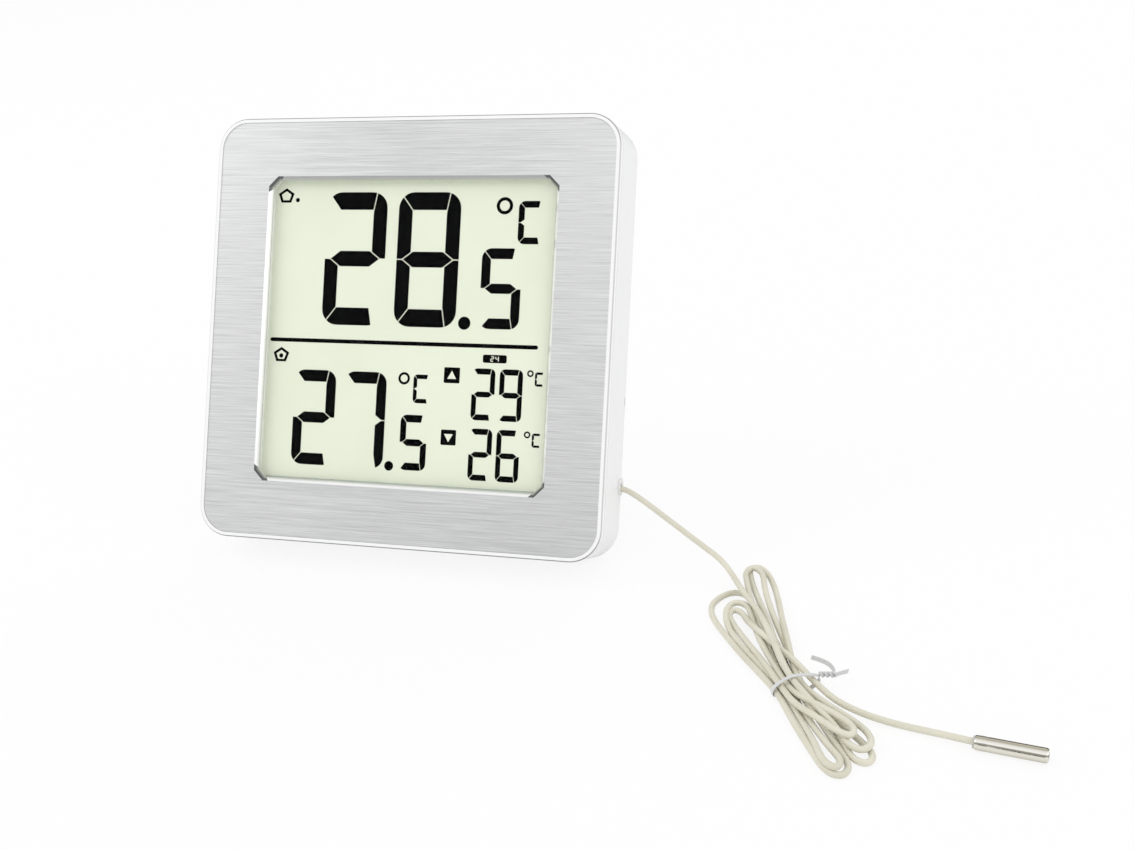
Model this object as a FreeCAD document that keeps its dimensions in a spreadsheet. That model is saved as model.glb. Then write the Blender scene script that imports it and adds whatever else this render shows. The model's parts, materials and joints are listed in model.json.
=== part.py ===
import FreeCAD, Part
import math
import os
import Sketcher

# Digital maximum-minimum thermometer: a square desk case that leans back on its
# fold-out stand, with a steel outdoor probe on a thin cord that is tied in a hank.
# The case is drawn upright with its bottom front edge on the X axis (x right,
# y to the back, z up), and one Placement then leans every piece of it back.

# ---------------------------------------------------------------- driving sizes
SIZES = {
    # case
    "case_size": 120.0,        # square face, side to side
    "case_depth": 22.0,
    "corner_radius": 9.0,
    "rear_round": 4.0,
    "wall": 1.8,
    "lean": 25.0,              # degrees back from upright
    # front bezel and its fascia
    "rim_width": 1.2,
    "rim_round": 0.5,
    "parting": 2.2,            # the bezel's outer edge ends here
    "parting_gap": 0.2,
    "fascia_inset": 0.25,
    "fascia_thick": 1.2,
    "fascia_gap": 0.05,
    "bevel": 1.1,
    "window_margin": 17.65,    # from the case's side to the clear window
    "window_corner": 2.2,
    "lens_margin": 15.0,
    "lens_thick": 1.0,
    "web": 1.0,                # bezel behind the lens
    "lip_thick": 1.4,
    "lip_depth": 2.0,
    "lip_gap": 0.1,
    "slack": 0.3,              # loose fit
    "running": 0.05,           # running fit, radial
    # screws and bosses
    "post_inset": 7.5,
    "post_radius": 3.0,
    "post_end": 10.5,
    "screw_depth": 7.5,        # from the back of the case to the screw's seat
    "screw_radius": 1.1,
    "screw_head_radius": 2.3,
    "screw_head_tall": 1.5,
    "board_post_radius": 2.3,
    "board_screw_radius": 0.9,
    # display
    "glass_margin": 13.0,
    "glass_thick": 1.1,
    "glass_ledge": 5.0,
    "film_thick": 0.2,
    "holder_wall": 1.8,
    # circuit board
    "board_front": 8.0,
    "board_thick": 1.6,
    "board_low": 11.5,
    "board_margin": 6.0,
    # fold-out stand
    "hinge_drop": 50.0,        # from the top of the case to the hinge
    "flap_round": 1.6,         # half the flap's thickness
    "flap_margin": 34.0,
    "heel_gap": 0.05,          # the open flap's heel stops this far from the recess's floor
    "pin_radius": 1.5,
    "pin_long": 1.9,
    "recess_depth": 4.0,
    "skin": 1.4,
    # battery bay and its door
    "bay_half": 25.2,
    "bay_tall": 23.0,
    "bay_depth": 12.6,
    "bay_skin": 2.8,
    "door_half": 26.5,
    "door_gap": 0.2,
    "door_hook_at": 18.0,      # each side of the middle
    "door_hook_half": 3.0,
    "door_hook_gap": 0.4311,   # from the hooks down to the recess's upper skin
    "cell_radius": 5.25,
    "cell_long": 44.5,
    "cell_pitch": 11.2,
    "cell_inset": 7.2,         # from the back of the case to the cells' axes
    "plate_thick": 0.4,
    "spring_radius": 3.0,
    "spring_wire": 0.35,
    # buttons and unit switch
    "button_margin": 18.0,
    "button_radius": 3.5,
    "button_flange": 4.6,
    "button_proud": 0.6,
    "switch_travel": 2.0,
    # vents over the indoor sensor
    "vent_half": 5.0,
    "vent_tall": 1.2,
    "vent_pitch": 3.2,
    "vent_low": 24.0,
    # wall hanging keyhole
    "keyhole_drop": 9.8,
    "keyhole_radius": 3.2,
    "keyhole_slot": 1.6,
    "keyhole_rise": 3.6,
    # sensor cord and probe
    "exit_inset": 5.0,         # from the back of the case
    "exit_z": 20.4,
    "cord_radius": 0.75,
    "grommet_radius": 1.9,
    "probe_radius": 1.65,
    "probe_long": 15.2,
    "probe_wall": 0.25,
    "hank_thick": 4.6,
}


class Size:
    """A value, with the formula that works it out from the sheet."""

    def __init__(self, number, formula):
        self.number = float(number)
        self.formula = formula

    def _with(self, other, sign, number):
        return Size(number, f"({self.formula} {sign} {as_size(other).formula})")

    def __add__(self, other):
        return self._with(other, "+", self.number + as_size(other).number)

    def __sub__(self, other):
        return self._with(other, "-", self.number - as_size(other).number)

    def __mul__(self, other):
        return self._with(other, "*", self.number * as_size(other).number)

    def __truediv__(self, other):
        return self._with(other, "/", self.number / as_size(other).number)

    def __radd__(self, other):
        return as_size(other) + self

    def __rsub__(self, other):
        return as_size(other) - self

    def __rmul__(self, other):
        return as_size(other) * self

    def __neg__(self):
        return Size(-self.number, f"(-{self.formula})")


def as_size(value):
    if isinstance(value, Size):
        return value
    return Size(value, f"{float(value):.6g}")


def sine(angle):
    return Size(math.sin(math.radians(angle.number)), f"sin({angle.formula} * 1 deg)")


def cosine(angle):
    return Size(math.cos(math.radians(angle.number)), f"cos({angle.formula} * 1 deg)")


def angle_of_cosine(share):
    return Size(math.degrees(math.acos(share.number)), f"(acos({share.formula}) / 1 deg)")


doc = FreeCAD.newDocument("thermometer")
sheet = doc.addObject("Spreadsheet::Sheet", "Params")
for row, (name, value) in enumerate(SIZES.items(), start=1):
    sheet.set(f"A{row}", name)
    sheet.set(f"B{row}", str(value))
    sheet.setAlias(f"B{row}", name)
doc.recompute()
P = {name: Size(value, f"Params.{name}") for name, value in SIZES.items()}

# ---------------------------------------------------------------- worked-out sizes
S = P["case_size"]
T = P["case_depth"]
HALF = S / 2
FASCIA_BACK = P["fascia_inset"] + P["fascia_thick"]
LENS_BACK = FASCIA_BACK + P["lens_thick"]
BEZEL_BACK = LENS_BACK + P["web"]
SHELL_BACK = T - P["wall"]
LIP_HALF = HALF - P["wall"] - P["lip_gap"]
WINDOW_HALF = HALF - P["window_margin"]
LENS_HALF = HALF - P["lens_margin"]
GLASS_HALF = HALF - P["glass_margin"]
GLASS_LOW = P["glass_margin"]
GLASS_HIGH = S - P["glass_margin"]
POST_X = HALF - P["post_inset"]
POST_Z = (P["post_inset"], S - P["post_inset"])
SCREW_SEAT = T - P["screw_depth"]

HINGE_Z = S - P["hinge_drop"]
HINGE_Y = T - P["flap_round"] - 0.5
FLAP_HALF = HALF - P["flap_margin"]
FLAP_TIP = HINGE_Z - 5 - P["flap_round"]
RECESS_FLOOR = T - P["recess_depth"]
RECESS_HALF = FLAP_HALF + 1

BOARD_BACK = P["board_front"] + P["board_thick"]
BOARD_HALF = HALF - P["board_margin"]
BOARD_HIGH = HINGE_Z + 6
BUTTON_X = HALF - P["button_margin"]
BUTTON_Z = [HINGE_Z - 8 - k * (HINGE_Z - 22) / 3 for k in range(3)]
SWITCH_Z = HINGE_Z - 13
EXIT_Y = T - P["exit_inset"]
EXIT_Z = P["exit_z"]

# Leaning back by this much keeps the rounded bottom rear edge on the ground.
LEAN = P["lean"]
ROUND = P["rear_round"]
BASE_Z = (T - ROUND) * sine(LEAN) - ROUND * cosine(LEAN) + ROUND
# The middle of the leaning case's footprint is at y 0.
REACH_BACK = (T - ROUND) * cosine(LEAN) + (S - ROUND) * sine(LEAN) + ROUND
BASE_Y = -(REACH_BACK + P["rim_round"] * (cosine(LEAN) + sine(LEAN) - 1)) / 2
# The stand's hinge in the object's frame, and the flap's swing that sets its foot down.
HINGE_OUT = BASE_Y + HINGE_Y * cosine(LEAN) + HINGE_Z * sine(LEAN)
HINGE_UP = BASE_Z - HINGE_Y * sine(LEAN) + HINGE_Z * cosine(LEAN)
FLAP_SWING = angle_of_cosine((HINGE_UP - P["flap_round"]) / FLAP_TIP)
# The flap's heel stops against the recess's floor when the flap is open.
HEEL = (HINGE_Y - RECESS_FLOOR - P["heel_gap"]) / sine(FLAP_SWING + LEAN)
HEEL_RISE = HEEL * cosine(FLAP_SWING + LEAN) + P["flap_round"] * sine(FLAP_SWING + LEAN)
RECESS_HIGH = HINGE_Z + HEEL_RISE + 0.7

# The door's round nose and its two hooks, which reach down to the recess's upper skin.
NOSE = P["wall"] / 2
HOOK_DEPTH = 1.6
HOOK_REACH = 2.2
HOOK_TOP = 1.8
DOOR_LOW = RECESS_HIGH + P["skin"] + P["door_hook_gap"] + HOOK_REACH
BAY_LOW = DOOR_LOW + 3.2
BAY_HIGH = BAY_LOW + P["bay_tall"]
BAY_FLOOR = T - P["bay_depth"]
DOOR_HIGH = BAY_HIGH + 1
CELL_Y = T - P["cell_inset"]
CELL_Z = (BAY_LOW + 5.9, BAY_LOW + 5.9 + P["cell_pitch"])
KEYHOLE_Z = S - P["keyhole_drop"]

# The cord leaves the case here.
OUT_Y = BASE_Y + EXIT_Y * cosine(LEAN) + EXIT_Z * sine(LEAN)
OUT_Z = BASE_Z - EXIT_Y * sine(LEAN) + EXIT_Z * cosine(LEAN)


# ---------------------------------------------------------------- helpers
def bind(obj, prop, value):
    value = as_size(value)
    obj.setExpression(prop, value.formula)


def place(obj, x, y, z, axis=None, angle=0.0):
    """A Placement whose three places follow the sheet."""
    spots = [as_size(v) for v in (x, y, z)]
    turn = FreeCAD.Rotation(FreeCAD.Vector(*axis), angle) if axis else FreeCAD.Rotation()
    obj.Placement = FreeCAD.Placement(FreeCAD.Vector(*[v.number for v in spots]), turn)
    for letter, value in zip("xyz", spots):
        bind(obj, f"Placement.Base.{letter}", value)


def lean_back(obj):
    place(obj, 0, BASE_Y, BASE_Z, axis=(1, 0, 0), angle=-LEAN.number)
    obj.setExpression("Placement.Rotation.Angle", (-LEAN).formula)


finished = []


def finish(obj, label, leaning=True):
    obj.Label = label
    if leaning:
        lean_back(obj)
    finished.append(obj)
    return obj


def set_box(box, x, y, z):
    """Sizes and place of a box from its low and high coordinates."""
    place(box, x[0], y[0], z[0])
    for prop, (low, high) in zip(("Length", "Width", "Height"), (x, y, z)):
        bind(box, prop, as_size(high) - as_size(low))
        setattr(box, prop, (as_size(high) - as_size(low)).number)


TURNS = {"x": ((0, 1, 0), 90.0), "y": ((1, 0, 0), -90.0), "z": (None, 0.0)}


def set_rod(rod, along, start, end, radius, spot):
    """A round bar along one axis from start to end; spot is its other two coordinates."""
    first, second = spot
    ends = {"x": (start, first, second), "y": (first, start, second), "z": (first, second, start)}
    axis, angle = TURNS[along]
    place(rod, *ends[along], axis=axis, angle=angle)
    bind(rod, "Radius", radius)
    bind(rod, "Height", as_size(end) - as_size(start))
    rod.Radius = as_size(radius).number
    rod.Height = (as_size(end) - as_size(start)).number


# Part solids, for the simple pieces.
def block(x, y, z):
    box = doc.addObject("Part::Box", "Block")
    set_box(box, x, y, z)
    return box


def rod(along, start, end, radius, spot):
    bar = doc.addObject("Part::Cylinder", "Rod")
    set_rod(bar, along, start, end, radius, spot)
    return bar


def fused(*shapes):
    join = doc.addObject("Part::MultiFuse", "Fused")
    join.Shapes = list(shapes)
    return join


def minus(base, *tools):
    cut = doc.addObject("Part::Cut", "Cut")
    cut.Base = base
    cut.Tool = tools[0] if len(tools) == 1 else fused(*tools)
    return cut


def together(*shapes):
    group = doc.addObject("Part::Compound", "Group")
    group.Links = list(shapes)
    return group


# PartDesign bodies, for the moulded pieces.
def new_body(name):
    return doc.addObject("PartDesign::Body", name)


def origin_plane(body, role):
    return next(f for f in body.Origin.OriginFeatures if f.Role == role)


def face_sketch(body, level):
    """A sketch seen from the front, x right and z up, at one depth."""
    sketch = body.newObject("Sketcher::SketchObject", "Sketch")
    sketch.AttachmentSupport = [(origin_plane(body, "XZ_Plane"), "")]
    sketch.MapMode = "FlatFace"
    depth = -as_size(level)
    sketch.AttachmentOffset = FreeCAD.Placement(
        FreeCAD.Vector(0, 0, depth.number), FreeCAD.Rotation()
    )
    bind(sketch, "AttachmentOffset.Base.z", depth)
    return sketch


def hold_point(sketch, geo, pos, x, z):
    """Fixes a point by its distances from the sketch's origin."""
    for kind, value, axis in (("DistanceX", as_size(x), -2), ("DistanceY", as_size(z), -1)):
        if abs(value.number) < 1e-9:
            sketch.addConstraint(Sketcher.Constraint("PointOnObject", geo, pos, axis))
            continue
        ends = (-1, 1, geo, pos) if value.number > 0 else (geo, pos, -1, 1)
        index = sketch.addConstraint(Sketcher.Constraint(kind, *ends, abs(value.number)))
        bind(sketch, f"Constraints[{index}]", value if value.number > 0 else -value)


def outline(sketch, points):
    """A closed outline of straight sides."""
    first = sketch.GeometryCount
    count = len(points)
    spots = [FreeCAD.Vector(as_size(x).number, as_size(z).number, 0) for x, z in points]
    for k in range(count):
        sketch.addGeometry(Part.LineSegment(spots[k], spots[(k + 1) % count]))
    for k in range(count):
        ends = (first + k, 2, first + (k + 1) % count, 1)
        sketch.addConstraint(Sketcher.Constraint("Coincident", *ends))
    for k, (x, z) in enumerate(points):
        hold_point(sketch, first + k, 1, x, z)


def rounded_square(sketch, half, radius):
    """A square with round corners, centred on the face's middle."""
    reach = (half - radius).number
    r = as_size(radius).number
    middle = HALF.number
    corners = [(1, 1, 0), (-1, 1, 90), (-1, -1, 180), (1, -1, 270)]
    for right, up, turn in corners:
        centre = FreeCAD.Vector(right * reach, middle + up * reach, 0)
        circle = Part.Circle(centre, FreeCAD.Vector(0, 0, 1), r)
        start = math.radians(turn)
        sketch.addGeometry(Part.ArcOfCircle(circle, start, start + math.pi / 2))
    for k in range(4):
        after = (k + 1) % 4
        start = sketch.Geometry[k].EndPoint
        end = sketch.Geometry[after].StartPoint
        line = sketch.addGeometry(Part.LineSegment(start, end))
        sketch.addConstraint(Sketcher.Constraint("Tangent", k, 2, line, 1))
        sketch.addConstraint(Sketcher.Constraint("Tangent", line, 2, after, 1))
    for k, (right, up, _) in enumerate(corners):
        hold_point(sketch, k, 3, right * (half - radius), HALF + up * (half - radius))
    index = sketch.addConstraint(Sketcher.Constraint("Radius", 0, r))
    bind(sketch, f"Constraints[{index}]", radius)


def chamfered_square(sketch, half, corner):
    inner = half - corner
    turns = [(inner, -half), (half, -inner), (half, inner), (inner, half),
             (-inner, half), (-half, inner), (-half, -inner), (-inner, -half)]
    outline(sketch, [(x, HALF + z) for x, z in turns])


def rectangle(sketch, x, z):
    outline(sketch, [(x[0], z[0]), (x[1], z[0]), (x[1], z[1]), (x[0], z[1])])


def circles(sketch, radius, spots):
    for x, z in spots:
        centre = FreeCAD.Vector(as_size(x).number, as_size(z).number, 0)
        circle = Part.Circle(centre, FreeCAD.Vector(0, 0, 1), as_size(radius).number)
        geo = sketch.addGeometry(circle)
        hold_point(sketch, geo, 3, x, z)
        index = sketch.addConstraint(
            Sketcher.Constraint("Radius", geo, as_size(radius).number)
        )
        bind(sketch, f"Constraints[{index}]", radius)


def pad(body, sketch, depth):
    feature = body.newObject("PartDesign::Pad", "Pad")
    feature.Profile = sketch
    feature.Reversed = True
    feature.Length = as_size(depth).number
    bind(feature, "Length", depth)
    doc.recompute()
    return feature


def pocket(body, sketch, depth):
    before = body.Shape.Volume
    feature = body.newObject("PartDesign::Pocket", "Pocket")
    feature.Profile = sketch
    feature.Length = as_size(depth).number
    bind(feature, "Length", depth)
    doc.recompute()
    if body.Shape.Volume > before - 1e-3:
        raise ValueError(f"a pocket in {body.Name} cuts nothing")
    return feature


def round_edges(body, radius, choose):
    base = body.Tip
    names = [f"Edge{k + 1}" for k, e in enumerate(base.Shape.Edges) if choose(e)]
    feature = body.newObject("PartDesign::Fillet", "Fillet")
    feature.Base = (base, names)
    feature.Radius = as_size(radius).number
    bind(feature, "Radius", radius)
    doc.recompute()


def at_depth(depth):
    y = as_size(depth).number
    return lambda e: abs(e.BoundBox.YMin - y) < 1e-6 and abs(e.BoundBox.YMax - y) < 1e-6


def body_box(body, kind, x, y, z):
    feature = body.newObject(f"PartDesign::{kind}Box", "Box")
    set_box(feature, x, y, z)
    doc.recompute()


def body_rod(body, kind, along, start, end, radius, spot):
    feature = body.newObject(f"PartDesign::{kind}Cylinder", "Rod")
    set_rod(feature, along, start, end, radius, spot)
    doc.recompute()


def both(value):
    return (-as_size(value), value)


# Tubes that bend: wires, springs and the cord.
def rounded_path(points):
    """Straight runs joined by tangent arcs, as a wire, its length and its arc radii."""
    spots = [FreeCAD.Vector(*p) for p in points]
    edges = []
    radii = []
    here = spots[0]
    for before, corner, after in zip(spots, spots[1:], spots[2:]):
        way_in = (corner - before).normalize()
        way_out = (after - corner).normalize()
        turn = way_in.getAngle(way_out)
        back = 0.45 * min((corner - before).Length, (after - corner).Length)
        radii.append(back / math.tan(turn / 2))
        start = corner - way_in * back
        end = corner + way_out * back
        inward = (way_out - way_in).normalize()
        centre = corner + inward * (radii[-1] / math.cos(turn / 2))
        middle = centre - inward * radii[-1]
        edges.append(Part.LineSegment(here, start).toShape())
        edges.append(Part.Arc(start, middle, end).toShape())
        here = end
    edges.append(Part.LineSegment(here, spots[-1]).toShape())
    wire = Part.Wire(edges)
    return wire, wire.Length, radii


def round_tube(points, radius):
    wire, length, radii = rounded_path(points)
    first = FreeCAD.Vector(*points[0])
    way = FreeCAD.Vector(*points[1]) - first
    ring = Part.Wire(Part.Edge(Part.Circle(first, way, radius)))
    solid = wire.makePipeShell([ring], True, False)
    return solid, length, radii


def tube_feature(name, paths, radius, leaning=True, report=False):
    solids = []
    for points in paths:
        solid, length, radii = round_tube(points, radius)
        solids.append(solid)
        share = solid.Volume / (math.pi * radius**2 * length)
        if report:
            print(name, "length", round(length, 2), "volume share", round(share, 4),
                  "arc radii", [round(v, 1) for v in radii])
    feature = doc.addObject("Part::Feature", name)
    feature.Shape = solids[0] if len(solids) == 1 else Part.Compound(solids)
    return finish(feature, name, leaning)


FOUR_POSTS = [(x, z) for x in both(POST_X) for z in POST_Z]
BOARD_POSTS = [(x, z) for x in both(HALF - 8.5) for z in (as_size(20), BOARD_HIGH - 6)]

# ---------------------------------------------------------------- front bezel
bezel = new_body("front_bezel")
sketch = face_sketch(bezel, 0)
rounded_square(sketch, HALF, P["corner_radius"])
pad(bezel, sketch, P["parting"])
round_edges(bezel, P["rim_round"], at_depth(0))
sketch = face_sketch(bezel, P["parting"])
rounded_square(sketch, LIP_HALF, P["corner_radius"] - P["wall"])
pad(bezel, sketch, BEZEL_BACK + P["lip_depth"] - P["parting"])
sketch = face_sketch(bezel, BEZEL_BACK)
rounded_square(sketch, LIP_HALF - P["lip_thick"], P["corner_radius"] - P["wall"] - P["lip_thick"])
pocket(bezel, sketch, P["lip_depth"])
sketch = face_sketch(bezel, 0)
rounded_square(sketch, HALF - P["rim_width"], P["corner_radius"] - P["rim_width"])
pocket(bezel, sketch, FASCIA_BACK)
sketch = face_sketch(bezel, FASCIA_BACK)
lens_room = LENS_HALF + P["slack"] / 2
rectangle(sketch, both(lens_room), (HALF - lens_room, HALF + lens_room))
pocket(bezel, sketch, P["lens_thick"])
sketch = face_sketch(bezel, LENS_BACK)
chamfered_square(sketch, WINDOW_HALF + 0.5, P["window_corner"])
pocket(bezel, sketch, P["web"])
sketch = face_sketch(bezel, BEZEL_BACK)
circles(sketch, P["post_radius"], FOUR_POSTS)
pad(bezel, sketch, P["post_end"] - BEZEL_BACK)
sketch = face_sketch(bezel, BEZEL_BACK)
circles(sketch, P["board_post_radius"], BOARD_POSTS)
pad(bezel, sketch, P["board_front"] - BEZEL_BACK)
sketch = face_sketch(bezel, BEZEL_BACK + 1.5)
circles(sketch, P["screw_radius"], FOUR_POSTS)
pocket(bezel, sketch, P["post_end"] - BEZEL_BACK - 1.5)
sketch = face_sketch(bezel, BEZEL_BACK + 1.5)
circles(sketch, P["board_screw_radius"], BOARD_POSTS)
pocket(bezel, sketch, P["board_front"] - BEZEL_BACK - 1.5)
finish(bezel, "front_bezel")

# ---------------------------------------------------------------- fascia and lens
fascia = new_body("fascia_plate")
sketch = face_sketch(fascia, P["fascia_inset"])
fascia_half = HALF - P["rim_width"] - P["fascia_gap"]
rounded_square(sketch, fascia_half, P["corner_radius"] - P["rim_width"])
pad(fascia, sketch, P["fascia_thick"])
sketch = face_sketch(fascia, P["fascia_inset"])
chamfered_square(sketch, WINDOW_HALF, P["window_corner"])
pocket(fascia, sketch, P["fascia_thick"])
# the polished bevel slopes in from the front all round the window
wide_sketch = face_sketch(fascia, P["fascia_inset"])
wide_corner = P["window_corner"] + P["bevel"] * (2 - math.sqrt(2))
chamfered_square(wide_sketch, WINDOW_HALF + P["bevel"], wide_corner)
narrow_sketch = face_sketch(fascia, P["fascia_inset"] + P["bevel"])
chamfered_square(narrow_sketch, WINDOW_HALF, P["window_corner"])
bevel = fascia.newObject("PartDesign::SubtractiveLoft", "Bevel")
bevel.Profile = wide_sketch
bevel.Sections = [narrow_sketch]
bevel.Ruled = True
doc.recompute()
finish(fascia, "fascia_plate")

lens_z = (HALF - LENS_HALF, HALF + LENS_HALF)
finish(together(block(both(LENS_HALF), (FASCIA_BACK, LENS_BACK), lens_z)), "window_lens")

# ---------------------------------------------------------------- display stack
ABOVE_LEDGE = GLASS_LOW + P["glass_ledge"]


def display_layer(label, front, thick, low):
    """One flat layer of the display; returns the depth of its back."""
    piece = block(both(GLASS_HALF), (front, front + thick), (low, GLASS_HIGH))
    finish(together(piece), label)
    return front + thick


polariser_back = display_layer("front_polariser", BEZEL_BACK, P["film_thick"], ABOVE_LEDGE)
front_glass_back = display_layer("display_front_glass", polariser_back, P["glass_thick"], GLASS_LOW)
rear_glass_back = display_layer("display_rear_glass", front_glass_back, P["glass_thick"], ABOVE_LEDGE)
stack_back = display_layer("display_reflector", rear_glass_back, P["film_thick"], ABOVE_LEDGE)

strip_z = (GLASS_LOW + 1, GLASS_LOW + 3)
finish(together(block(both(GLASS_HALF - 3), (front_glass_back, P["board_front"]), strip_z)), "zebra_strip")

holder = new_body("display_holder")
room = GLASS_HALF + 0.2
sketch = face_sketch(holder, BEZEL_BACK)
rectangle(sketch, both(room + P["holder_wall"]),
          (GLASS_LOW - 0.2 - P["holder_wall"], GLASS_HIGH + 0.2 + P["holder_wall"]))
pad(holder, sketch, P["board_front"] - BEZEL_BACK)
sketch = face_sketch(holder, BEZEL_BACK)
rectangle(sketch, both(room), (GLASS_LOW - 0.2, GLASS_HIGH + 0.2))
pocket(holder, sketch, stack_back - BEZEL_BACK)
sketch = face_sketch(holder, stack_back)
rectangle(sketch, both(room - 2), (GLASS_LOW - 0.2, GLASS_HIGH - 2))
pocket(holder, sketch, P["board_front"] - stack_back)
finish(holder, "display_holder")

# ---------------------------------------------------------------- rear case
case = new_body("rear_case")
case_front = P["parting"] + P["parting_gap"]
sketch = face_sketch(case, case_front)
rounded_square(sketch, HALF, P["corner_radius"])
pad(case, sketch, T - case_front)
round_edges(case, P["rear_round"], at_depth(T))
sketch = face_sketch(case, case_front)
rounded_square(sketch, HALF - P["wall"], P["corner_radius"] - P["wall"])
pocket(case, sketch, SHELL_BACK - case_front)
# the stand's recess
recess_x = RECESS_HALF + P["skin"]
recess_low = 4.2
body_box(case, "Additive", both(recess_x), (RECESS_FLOOR - P["skin"], SHELL_BACK + 0.2),
         (recess_low - P["skin"], RECESS_HIGH + P["skin"]))
body_box(case, "Subtractive", both(RECESS_HALF), (RECESS_FLOOR, T + 1), (recess_low, RECESS_HIGH))
body_rod(case, "Subtractive", "x", -recess_x - 0.1, recess_x + 0.1,
         P["pin_radius"] + P["running"], (HINGE_Y, HINGE_Z))
# the battery bay, open to the back under its door
bay_outer = P["bay_half"] + P["bay_skin"]
body_box(case, "Additive", both(bay_outer), (BAY_FLOOR - 1, SHELL_BACK + 0.2),
         (BAY_LOW - 1, BAY_HIGH + 2))
body_box(case, "Subtractive", both(P["bay_half"]), (BAY_FLOOR, T + 1),
         (BAY_LOW, BAY_HIGH))
body_box(case, "Subtractive", both(P["door_half"] + P["door_gap"]), (SHELL_BACK, T + 1),
         (DOOR_LOW - P["door_gap"], DOOR_HIGH + P["door_gap"]))
# the door's hooks swing up through notches in the bay's lower wall
for x in both(P["door_hook_at"]):
    body_box(case, "Subtractive", (x - P["door_hook_half"] - 0.3, x + P["door_hook_half"] + 0.3),
             (SHELL_BACK - HOOK_REACH - 1.6, SHELL_BACK + 0.1), (BAY_LOW - 1.5, BAY_LOW + 0.1))
LEAD_X = (-23.6, -21.5)
LEAD_Y = BAY_FLOOR + 0.9
for x in LEAD_X:
    body_rod(case, "Subtractive", "z", BAY_LOW - 2, BAY_LOW + 0.2, 0.7, (x, LEAD_Y))
# screw bosses: the head sits in a well, the post of the bezel meets the boss
sketch = face_sketch(case, P["post_end"])
circles(sketch, P["post_radius"] + 0.4, FOUR_POSTS)
pad(case, sketch, SHELL_BACK + 0.2 - P["post_end"])
sketch = face_sketch(case, SCREW_SEAT)
circles(sketch, P["screw_head_radius"] + P["slack"], FOUR_POSTS)
pocket(case, sketch, T - SCREW_SEAT)
sketch = face_sketch(case, P["post_end"])
circles(sketch, P["screw_radius"] + 0.2, FOUR_POSTS)
pocket(case, sketch, SCREW_SEAT - P["post_end"])
# holes for the buttons, the unit switch, the vents and the wall screw
sketch = face_sketch(case, SHELL_BACK)
circles(sketch, P["button_radius"] + P["slack"], [(-BUTTON_X, z) for z in BUTTON_Z])
pocket(case, sketch, P["wall"])
KNOB_HALF = 1.5
switch_z = (SWITCH_Z - KNOB_HALF - 1, SWITCH_Z + P["switch_travel"] + KNOB_HALF + 1)
sketch = face_sketch(case, SHELL_BACK)
rectangle(sketch, (BUTTON_X - 1.6, BUTTON_X + 1.6), switch_z)
pocket(case, sketch, P["wall"])
for k in range(4):
    vent_z = P["vent_low"] + k * P["vent_pitch"]
    sketch = face_sketch(case, SHELL_BACK)
    rectangle(sketch, (BUTTON_X - P["vent_half"], BUTTON_X + P["vent_half"]), (vent_z, vent_z + P["vent_tall"]))
    pocket(case, sketch, P["wall"])
sketch = face_sketch(case, SHELL_BACK)
circles(sketch, P["keyhole_radius"], [(0, KEYHOLE_Z)])
pocket(case, sketch, P["wall"])
body_box(case, "Subtractive", both(P["keyhole_slot"]), (SHELL_BACK - 0.1, T + 1),
         (KEYHOLE_Z, KEYHOLE_Z + P["keyhole_rise"]))
body_rod(case, "Subtractive", "y", SHELL_BACK - 0.1, T + 1, P["keyhole_slot"],
         (0, KEYHOLE_Z + P["keyhole_rise"]))
# the cord's hole and the small pry notch in the right-hand side
body_rod(case, "Subtractive", "x", HALF - P["wall"] - 0.1, HALF + 1, P["grommet_radius"] + 0.05,
         (EXIT_Y, EXIT_Z))
body_box(case, "Subtractive", (HALF - 1, HALF + 1), (T - 4.6, T - 3.4), (0.365 * S - 1.2, 0.365 * S + 1.2))
finish(case, "rear_case")

# ---------------------------------------------------------------- stand, hinge at its origin
stand = new_body("fold_out_stand")
r = P["flap_round"]
body_box(stand, "Additive", both(FLAP_HALF), both(r), (-FLAP_TIP, 0))
body_rod(stand, "Additive", "x", -FLAP_HALF, FLAP_HALF, r, (0, -FLAP_TIP))
body_rod(stand, "Additive", "x", -FLAP_HALF, FLAP_HALF, r, (0, 0))
body_rod(stand, "Additive", "x", -FLAP_HALF - P["pin_long"], FLAP_HALF + P["pin_long"],
         P["pin_radius"], (0, 0))
body_box(stand, "Additive", both(FLAP_HALF), (0, r), (0, HEEL))
# thinner web between a frame of ribs on the side that faces the case
for low, high in ((-FLAP_TIP + 3, -FLAP_TIP / 2 - 1), (-FLAP_TIP / 2 + 1, -4)):
    body_box(stand, "Subtractive", both(FLAP_HALF - 3), (-r - 1, r - 1.6), (low, high))
# grip grooves near the foot
for k in range(3):
    low = -FLAP_TIP + 3 + 2.2 * k
    body_box(stand, "Subtractive", both(9.0), (r - 0.5, r + 1), (low, low + 1.1))
stand.Label = "fold_out_stand"
place(stand, 0, HINGE_OUT, HINGE_UP, axis=(1, 0, 0), angle=FLAP_SWING.number)
stand.setExpression("Placement.Rotation.Angle", FLAP_SWING.formula)
finished.append(stand)

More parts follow.
